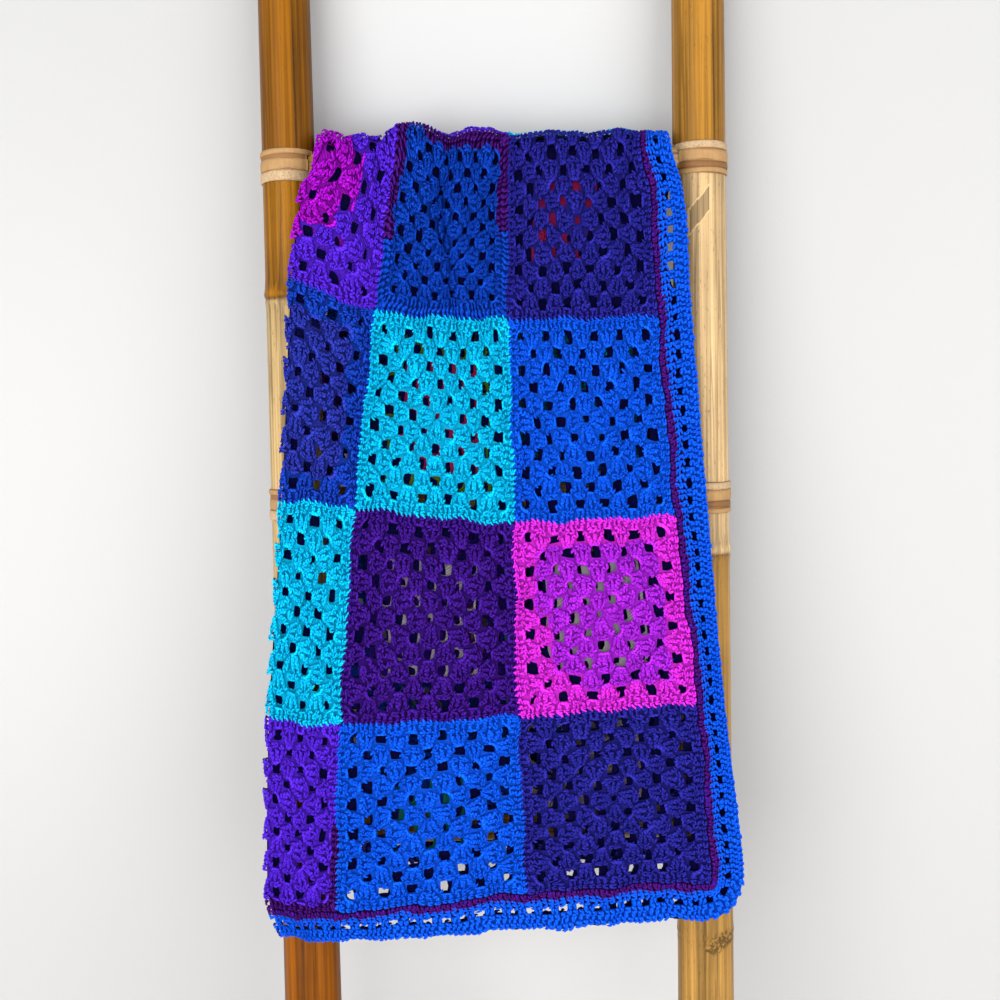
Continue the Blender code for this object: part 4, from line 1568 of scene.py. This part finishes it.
DARK_PITCH = 0.0076     # between the pairs of the border's first, dark posts
DARK_HALF = 0.0019      # half the distance between the two of a pair
DARK_PLUM = 0.3         # the share of these posts in another dark yarn
POSTS = {
    # insets of both ends from the border's edge, width of each twisted pair and its radius
    "dark": (0.0298, 0.0248, 0.0010, 0.00125),
    "bars": (0.0176, 0.0118, 0.0009, 0.0013),
    "closing": (0.0090, 0.0042, 0.0010, 0.0014),
}
CHAINS = {
    # inset, spread and radius of each row of V tops, and how far it is shifted along
    "dark": (0.0244, 0.0012, 0.0011, 0.0),
    "blue": (0.0220, 0.0014, 0.00125, 0.001),
    "over gaps": (0.0190, 0.0018, 0.00140, 0.002),
    "under gaps": (0.0102, 0.0016, 0.0014, 0.001),
    "closing": (0.0028, 0.0016, 0.0015, 0.003),
}
DOT_INSET = 0.0262
DOT_HALF = 0.0014       # half of a dot's length


class CrochetBorder(bpy.types.Operator):
    """Crochet the border: a dark row, a blue row, a row of gaps and two closing rows"""

    bl_idname = "blanket.border"
    bl_label = "Border"

    pitch: FloatProperty(
        name="Pitch", description="Distance between the stitches",
        default=0.0052, min=0.003, max=0.02, precision=4, unit="LENGTH",
    )

    def chain(self, yarn, run, kind, mark, random):
        """A row of V tops."""
        inset, spread, radius, shift = CHAINS[kind]
        place, along, out = border_place(run + shift, inset)
        along, out = flat_points(along, 0.0), flat_points(out, 0.0)
        wave = random.normal(0.0, 0.0003, len(run))
        middle = flat_points(place, 0.0) + out * wave[:, None]
        arms = vees(middle, along, out, self.pitch, spread, 0.0012)
        yarn.add(arms, radius, mark, self.stitch(len(run)), sides=3)

    def posts(self, yarn, run, kind, mark, random):
        """A row of short posts."""
        inner, outer, wide, radius = POSTS[kind]
        near = border_place(run, inner)[0]
        far = border_place(run + random.normal(0.0004, 0.0003, len(run)), outer)[0]
        phase = random.uniform(0, math.tau, len(run))
        near, far = flat_points(near, 0.0), flat_points(far, 0.0003)
        lines = twisted(near, far, 4, 0.6, wide, 0.0006, phase)
        yarn.add(lines, radius, mark, self.stitch(len(run)), sides=3)

    def stitch(self, count):
        """The numbers of a row's stitches, of which each has two strands."""
        groups = self.count + np.arange(count)
        self.count += count
        return np.tile(groups, 2)

    def side(self, name, start, end, random, shaded=0):
        """The border from start to end along its run; where it is shaded it is plainer and in
        darker yarn copies: painted shade.
        """
        self.count = 0
        yarn = Yarn()
        colors = BORDER_SHADED if shaded else (BORDER_DARK, BORDER_BLUE, BORDER_DOT)
        dark, blue, dot = (YARNS.index(color) + shaded * len(YARNS) for color in colors)
        run = np.arange(start, end, self.pitch * (1.6 if shaded else 1.0))
        pairs = np.arange(start, end, DARK_PITCH)
        pairs = np.sort(np.r_[pairs - DARK_HALF, pairs + DARK_HALF])
        darks = np.where(random.random(len(pairs)) < DARK_PLUM, YARNS.index("plum"), dark)
        self.posts(yarn, pairs, "dark", dark if shaded else np.tile(darks, 2), random)
        self.chain(yarn, run, "dark", dark, random)
        if not shaded:
            self.chain(yarn, run, "blue", blue, random)
        self.chain(yarn, run, "over gaps", blue, random)
        bars = bar_runs()
        bars = bars[(bars >= start) & (bars < end)]
        bars = bars[~inner_hem(bars)] if shaded else bars
        bars = np.sort(np.r_[bars - BAR / 2, bars + BAR / 2])
        self.posts(yarn, bars, "bars", blue, random)
        self.chain(yarn, run, "under gaps", blue, random)
        self.posts(yarn, run, "closing", blue, random)
        self.chain(yarn, run, "closing", blue, random)
        dots = np.arange(start + DARK_PITCH / 2, end, DARK_PITCH)
        place, _, out = border_place(dots, DOT_INSET)
        ends = (flat_points(place + out * way * DOT_HALF, -0.0002) for way in (-1, 1))
        lines = single(*ends, 4, 0.0006)
        yarn.add(lines, 0.0006, dot, self.count + np.arange(len(dots)), sides=3)
        arrays = yarn.arrays()
        loose = random.normal(0.0, 0.00018, (arrays["groups"].max() + 1, 3))
        arrays["points"] = arrays["points"] + loose[arrays["groups"]]
        thing = crocheted(name, [arrays])
        return thing

    def execute(self, context):
        random = np.random.default_rng(5)
        outer = self.side("border_outside", FIRST_RUN, LAST_RUN, random)
        self.side("border_inside", LAST_RUN, FIRST_RUN + BORDER_RUN, random, 1)
        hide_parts("edging")
        return {"FINISHED"}


# ---------------------------------------------------------------- the ladder
RAILS = {
    # side: (foot radius, top radius, heights of the bamboo's nodes)
    "left": (0.0275, 0.0215, (0.070, 0.400, 0.730, 1.060, 1.383)),
    "right": (0.0268, 0.0218, (0.139, 0.478, 0.818, 1.157)),
}
TONE_CHANGES = (RUNG_TOP,)      # where a pole's tone changes under a wrap
# Tones of the lengths between the nodes, from the foot up.
TONES = {
    "left": ("honey", "honey", "amber", "amber", "straw", "honey", "umber"),
    "right": ("golden", "golden", "golden", "golden", "pale", "tawny"),
}
# Across, height, half width, half height and slant of each patch without skin, and of each knot.
SCARS = {"left": (), "right": ((-0.0030, 1.4460, 0.0088, 0.0105, 1.15),)}
GNARLS = {"left": (), "right": ((0.0100, 0.8130, 0.0135, 0.0085, 0.35),)}
RUNG_KNOTS = (0.035, -0.060, 0.052, -0.028, 0.071)      # where each rung's one node is
RUNG_REACH = RAIL_SPACING / 2 - 0.0003
FAINT_NODES = (0.818,)
TONE_UNDER = 0.004      # how far under a node's middle the tone changes
RING_PITCH = 0.030      # between a pole's rings, apart from those near its nodes
NEAR_NODE = 0.0154
RAIL_RING, RUNG_RING = 0.0011, 0.0014   # between the rings near the nodes
RUNG_SIDES = 32
RAIL_OVAL, RUNG_OVAL = 0.006, 0.008     # how far the poles are from round
FOOT_RING = 0.004       # the lowest ring's height, before the foot is cut level
HOLLOW = 0.012          # depth of the open top
WRAP_TALL = 0.028
BANDS = {
    # middle, height and cane of each band of a wrap: 0 plain, 1 pale and rough, 2 brown
    "left": ((0.0109, 0.0042, 0), (0.0004, 0.0094, 0), (-0.0092, 0.0086, 1)),
    "right": (
        (0.0100, 0.0058, 1), (0.0016, 0.0094, 0), (-0.0060, 0.0050, 2), (-0.0112, 0.0040, 0),
    ),
}
POLE_FRAME = Matrix.Rotation(-LEAN, 4, "X")


def rung_height(number):
    """A rung's height up the rails, for rungs 1 to 5."""
    return RUNG_TOP - RUNG_PITCH * (len(RUNG_KNOTS) - number)


def pole_place(x, height):
    """The world place of a height on a pole's axis."""
    return Vector(in_world(np.array(x), np.array(0.0), np.array(height)))


def bell(away, width):
    """1 in the middle and less and less away from it."""
    return np.exp(-((away / width) ** 2))


def knot_shape(from_knot):
    """Swelling of a bamboo node: a ridge with a groove under it and a thin lower ring."""
    ridge = 0.0006 * bell(from_knot, 0.0022)
    swell = 0.0009 * bell(from_knot, 0.0090)
    groove = -0.0006 * bell(from_knot + 0.0040, 0.0014)
    ring = 0.0003 * bell(from_knot + 0.0066, 0.0012)
    return ridge + swell + groove + ring


def revolve(name, heights, radii, sides, material, tints, wobble):
    """A pole round its own axis, with a tint on each ring and both ends closed."""
    angle = np.arange(sides) / sides * math.tau
    out = 1.0 + wobble * np.sin(2 * angle + 1.0)
    x = radii[:, None] * np.cos(angle) * out
    y = radii[:, None] * np.sin(angle) * out
    z = np.repeat(heights[:, None], sides, 1)
    points = np.stack((x, y, z), -1).reshape(-1, 3)
    quads, triangles = tube_faces(len(heights), sides)
    arrays = {
        "points": np.r_[points, ((0, 0, heights[0]), (0, 0, heights[-1]))],
        "quads": quads,
        "triangles": triangles,
        "marks": np.zeros(len(quads) + len(triangles), int),
    }
    thing = make_piece(name, arrays, [material])
    layer = thing.data.attributes.new("tint", "FLOAT_COLOR", "POINT")
    colors = np.r_[np.repeat(tints, sides, 0), tints[:1] * 1.1, tints[-1:] * 1.1]
    colors = np.c_[colors, np.ones(len(colors))]
    layer.data.foreach_set("color", colors.astype(np.float32).ravel())
    return thing


def near_knots(low, high, knots, fine):
    """Ring heights: coarse in between and fine at the nodes."""
    heights = list(np.arange(low, high, RING_PITCH)) + [high]
    for knot in knots:
        heights = [h for h in heights if abs(h - knot) > NEAR_NODE]
        heights += list(np.arange(knot - NEAR_NODE, knot + NEAR_NODE + fine / 2, fine))
    return np.array(sorted(set(h for h in heights if low <= h <= high)))


def knot_tints(heights, knots, tones, scar, changes=()):
    """Tones of the lengths between the nodes, with the dark and pale lines of each node."""
    level = np.searchsorted(np.array((*knots, *changes)) - TONE_UNDER, heights)
    tints = np.array(tones)[level]
    for knot in knots:
        away = heights - knot
        dark = bell(away + 0.0038, 0.0013)[:, None]
        light = bell(away - 0.0010, 0.0030)[:, None]
        dusk = bell(away, 0.020)[:, None]
        tints = tints * (1 - 0.18 * dusk)
        if knot in FAINT_NODES:
            continue
        tints = tints * (1 + 0.30 * light)
        tints = tints * (1 - 0.8 * dark) + np.array(scar) * 0.8 * dark
    return tints


class DressRails(bpy.types.Operator):
    """Make the two bamboo poles with their nodes"""

    bl_idname = "blanket.rails"
    bl_label = "Rails"

    def execute(self, context):
        ladder = settings("blanket_ladder")
        for side, sign in (("left", -1), ("right", 1)):
            name = f"bamboo_{side}"
            material = bamboo_material(name, ladder.gloss, SCARS[side], GNARLS[side])
            foot, top, knots = RAILS[side]
            fine_at = (*knots, *TONE_CHANGES)
            heights = near_knots(FOOT_RING, RAIL_LENGTH, fine_at, RAIL_RING)
            radii = foot + (top - foot) * heights / RAIL_LENGTH
            for knot in knots:
                strength = 0.4 if knot in FAINT_NODES else 1.0
                radii = radii + strength * knot_shape(heights - knot)
            tones = [tuple(getattr(ladder, tone)) for tone in TONES[side]]
            tints = knot_tints(heights, knots, tones, tuple(ladder.scar), TONE_CHANGES)
            # The open top: its rim, a little paler, then the hollow inside, darkened: painted
            # shade.
            heights = np.r_[heights, RAIL_LENGTH, RAIL_LENGTH - HOLLOW]
            radii = np.r_[radii, radii[-1] * 0.80, radii[-1] * 0.78]
            radii[-3] -= 0.0006
            tints = np.r_[tints, tints[-1:] * 1.15, tints[-1:] * 0.5]
            shape = heights, radii, ladder.sides
            thing = revolve(f"pole_{side}", *shape, material, tints, RAIL_OVAL)
            self.flatten_foot(thing, pole_place(sign * RAIL_SPACING / 2, 0.0))
            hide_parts(f"rail_{side}")
        return {"FINISHED"}

    def flatten_foot(self, thing, place):
        """Stands the pole in place with its foot cut level with the floor."""
        move = Matrix.Translation(place) @ POLE_FRAME
        for point in thing.data.vertices:
            if point.co.z <= 2.5 * FOOT_RING:
                # Slide the lowest ring down the axis to the floor.
                world = move @ point.co
                axis = move.to_3x3() @ Vector(UP)
                world -= axis * (world.z / axis.z)
                point.co = move.inverted() @ world
        thing.matrix_world = move


class DressRungs(bpy.types.Operator):
    """Make the five bamboo rungs"""

    bl_idname = "blanket.rungs"
    bl_label = "Rungs"

    def execute(self, context):
        ladder = settings("blanket_ladder")
        material = bamboo_material("bamboo_rung", ladder.gloss + 0.08)
        for number, knot in enumerate(RUNG_KNOTS, 1):
            heights = near_knots(-RUNG_REACH, RUNG_REACH, [knot], RUNG_RING)
            radii = np.full(len(heights), RUNG_RADIUS) + 0.55 * knot_shape(heights - knot)
            tones = [tuple(ladder.golden), tuple(ladder.pale)]
            tints = knot_tints(heights, [knot], tones, tuple(ladder.scar))
            shape = heights, radii, RUNG_SIDES
            thing = revolve(f"rung_pole_{number}", *shape, material, tints, RUNG_OVAL)
            thing.matrix_world = (
                Matrix.Translation(pole_place(0.0, rung_height(number)))
                @ POLE_FRAME @ Matrix.Rotation(math.pi / 2, 4, "Y")
            )
            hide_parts(f"rung_{number}")
        return {"FINISHED"}


BAND_THICK = 0.0014
LINING_THICK = 0.0006   # of the dark layer that shows between the bands: painted shade in their gaps
BAND_EDGE = 0.0005      # how much a band's edges are rounded off
BAND_SIDES = 40


def band_mesh(inside, thick, middle, tall, inwards, mark, uneven):
    """A strip of cane round a pole, open where the rung comes in."""
    half = tall / 2
    notch = RUNG_RADIUS + 0.0004
    level = min(abs(middle), notch - 0.001)
    reach = math.sqrt(notch * notch - level * level)
    cut = math.asin(min(reach / inside, 0.9))
    start = 0.0 if inwards > 0 else math.pi
    angle = start + np.linspace(cut, math.tau - cut, BAND_SIDES + 1)
    bulge = 0.0003 * np.sin(3 * angle + uneven)
    lift = 0.0004 * np.sin(2 * angle + 2 * uneven)
    outside = inside + thick
    profile = (
        (inside, -half), (outside - BAND_EDGE, -half), (outside, -half * 0.55),
        (outside, half * 0.55), (outside - BAND_EDGE, half), (inside, half),
    )
    points = []
    for radius, height in profile:
        away = radius + (bulge if radius > inside else 0.0)
        points.append(np.stack((
            away * np.cos(angle), away * np.sin(angle), middle + height + lift,
        ), -1))
    count = len(profile)
    rows = np.arange(BAND_SIDES)[:, None] * count
    here = np.arange(count)
    after = (here + 1) % count
    quads = np.stack((rows + here, rows + count + here, rows + count + after, rows + after), -1)
    quads = quads.reshape(-1, 4)
    last = BAND_SIDES * count
    triangles = np.array(
        [(count - 1, k, k - 1) for k in range(count - 2, 0, -1)]
        + [(last, last + k, last + k + 1) for k in range(1, count - 1)]
    )
    length, width = (angle * outside)[:, None], np.array([height for _, height in profile])
    places = np.stack(np.broadcast_arrays(length, width), -1).reshape(-1, 2)
    return {
        "points": np.stack(points, 1).reshape(-1, 3),
        "quads": quads,
        "triangles": triangles,
        "marks": np.full(len(quads) + len(triangles), mark),
        "strand": places[np.r_[quads.ravel(), triangles.ravel()]],
    }


class WrapJoints(bpy.types.Operator):
    """Wrap cane round the poles where the rungs go in"""

    bl_idname = "blanket.wraps"
    bl_label = "Cane wraps"

    def execute(self, context):
        ladder = settings("blanket_ladder")
        materials = [
            cane_material("cane", ladder.cane, 0.10), cane_material("pale_cane", ladder.husk, 0.5),
            cane_material("brown_cane", ladder.bark, 0.35),
            plain_material("cane_gaps", ladder.cord, 0.7),
        ]
        for side, sign in (("left", -1), ("right", 1)):
            foot, top, _ = RAILS[side]
            for number in range(1, len(RUNG_KNOTS) + 1):
                height = rung_height(number)
                inside = foot + (top - foot) * (height - WRAP_TALL / 2) / RAIL_LENGTH + 0.0003
                # A dark lining under the bands paints the shade in the gaps between them.
                lining = 0.0, WRAP_TALL - 0.001
                sets = [band_mesh(inside, LINING_THICK, *lining, -sign, len(materials) - 1, 0.0)]
                for middle, tall, mark in BANDS[side]:
                    uneven = number * 1.7 + middle * 300
                    sets.append(band_mesh(inside, BAND_THICK, middle, tall, -sign, mark, uneven))
                thing = make_piece(f"cane_{side}_{number}", joined(sets), materials)
                place = pole_place(sign * RAIL_SPACING / 2, height)
                thing.matrix_world = Matrix.Translation(place) @ POLE_FRAME
                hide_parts(f"wrap_{side}_{number}")
        return {"FINISHED"}


# ---------------------------------------------------------------- the stage
def add_plane(name, corners, material):
    """A flat face of the stage."""
    mesh = bpy.data.meshes.new(name)
    mesh.from_pydata(corners, [], [(0, 1, 2, 3)])
    mesh.materials.append(material)
    added(name, mesh)


def add_light(name, place, aim, size, power):
    """A square light of the stage."""
    light = bpy.data.lights.new(name, "AREA")
    light.shape = "SQUARE"
    light.size = size
    light.energy = power
    thing = added(name, light)
    thing.location = place
    thing.rotation_euler = (Vector(aim) - Vector(place)).to_track_quat("-Z", "Y").to_euler()


def wall_material(color):
    """Painted wall that can be looked through from behind, with painted light and shade
    in its colour.
    """
    shader = Shader("wall_paint")
    place = shader.node("ShaderNodeNewGeometry")
    grain = shader.noise(place, 260.0, 2.0)
    x, _, z = shader.axes(place)
    # Painted light: brighter between the rails, most below the blanket's hem; painted shade:
    # darker above and below the middle height, more on the left.
    in_middle = 1.0 - x.size().between(0.10, 0.24)
    low = 1.0 - z.between(0.75, 1.05)
    far = (z - 1.17).size().between(0.05, 0.50)
    right = x.between(-0.45, 0.45)
    light = 1.0 + in_middle * (0.14 + low * 0.09) - far * (0.10 - right * 0.06)
    shader.surface_set(Base_Color=shader.times(tuple(color), light), Roughness=0.8)
    shader.bump(grain, 0.0004, 0.25)
    output = shader.nodes["Material Output"]
    clear = shader.node("ShaderNodeBsdfTransparent")
    behind = Socket(shader, place.output.node.outputs["Backfacing"])
    surface = Socket(shader, shader.surface.outputs[0])
    both = shader.node("ShaderNodeMixShader", None, behind, surface, clear)
    shader.links.new(both.output, output.inputs["Surface"])
    return shader.material


BEHIND = 0.003          # from the ladder's back to the wall
LIT = (0.0, 0.0, 1.15)  # where the lights aim
CAMERA_PLACE = (0.00266, -1.0925, 1.4152)
CAMERA_TILT = math.radians(79.0)
CAMERA_ROLL = math.radians(-1.093)


class SetStage(bpy.types.Operator):
    """Put up the wall, the floor, the lights and the camera"""

    bl_idname = "blanket.stage"
    bl_label = "Stage"

    def execute(self, context):
        scene = context.scene
        stage = scene.blanket_stage
        back = max(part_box(node)[1].y for node in frame["nodes"]) + BEHIND
        low, high = -0.01, 3.2
        add_plane(
            "wall", [(x, back, z) for x, z in ((-4, low), (4, low), (4, high), (-4, high))],
            wall_material(stage.wall),
        )
        add_plane(
            "floor", [(x, y, 0) for x, y in ((-4, -4), (4, -4), (4, back), (-4, back))],
            plain_material("floor_paint", stage.floor, 0.7),
        )
        add_light("key", (-1.3, -2.3, 1.35), LIT, 2.2, stage.key)
        add_light("fill", (1.7, -2.2, 1.0), LIT, 2.4, stage.fill)
        world = bpy.data.worlds.new("room")
        world.use_nodes = True
        light = world.node_tree.nodes["Background"]
        light.inputs["Color"].default_value = (1.0, 1.0, 1.0, 1.0)
        light.inputs["Strength"].default_value = stage.ambient
        scene.world = world
        camera = added("camera", bpy.data.cameras.new("camera"))
        camera.data.lens = stage.lens
        camera.data.sensor_width = 36.0
        camera.matrix_world = (
            Matrix.Translation(CAMERA_PLACE)
            @ Matrix.Rotation(CAMERA_TILT, 4, "X") @ Matrix.Rotation(CAMERA_ROLL, 4, "Z")
        )
        scene.camera = camera
        scene.view_settings.view_transform = "Standard"
        return {"FINISHED"}


class BLANKET_PT_panel(bpy.types.Panel):
    """Steps and settings of the blanket"""

    bl_idname = "BLANKET_PT_panel"
    bl_label = "Granny square blanket"
    bl_space_type = "VIEW_3D"
    bl_region_type = "UI"
    bl_category = "Blanket"

    def draw(self, context):
        for step in STEPS:
            self.layout.operator(step.bl_idname)
        for name, group in GROUPS.items():
            box = self.layout.box()
            box.label(text=group.__name__)
            for key in group.__annotations__:
                box.prop(getattr(context.scene, name), key)


GROUPS = {
    "blanket_yarns": BlanketYarns,
    "blanket_yarn": YarnSettings,
    "blanket_ladder": LadderSettings,
    "blanket_stage": StageSettings,
}
STEPS = (
    WebBlanket, CrochetSquares, SewSeams, CrochetBorder, DressRails, DressRungs, WrapJoints,
    SetStage,
)


def register():
    for kind in (*GROUPS.values(), *STEPS, BLANKET_PT_panel):
        bpy.utils.register_class(kind)
    for name, group in GROUPS.items():
        setattr(bpy.types.Scene, name, PointerProperty(type=group))


def unregister():
    for name in GROUPS:
        delattr(bpy.types.Scene, name)
    for kind in (BLANKET_PT_panel, *reversed(STEPS), *reversed(GROUPS.values())):
        bpy.utils.unregister_class(kind)


def main():
    register()
    for step in STEPS:
        group, name = step.bl_idname.split(".")
        getattr(getattr(bpy.ops, group), name)()


if __name__ == "__main__":
    main()
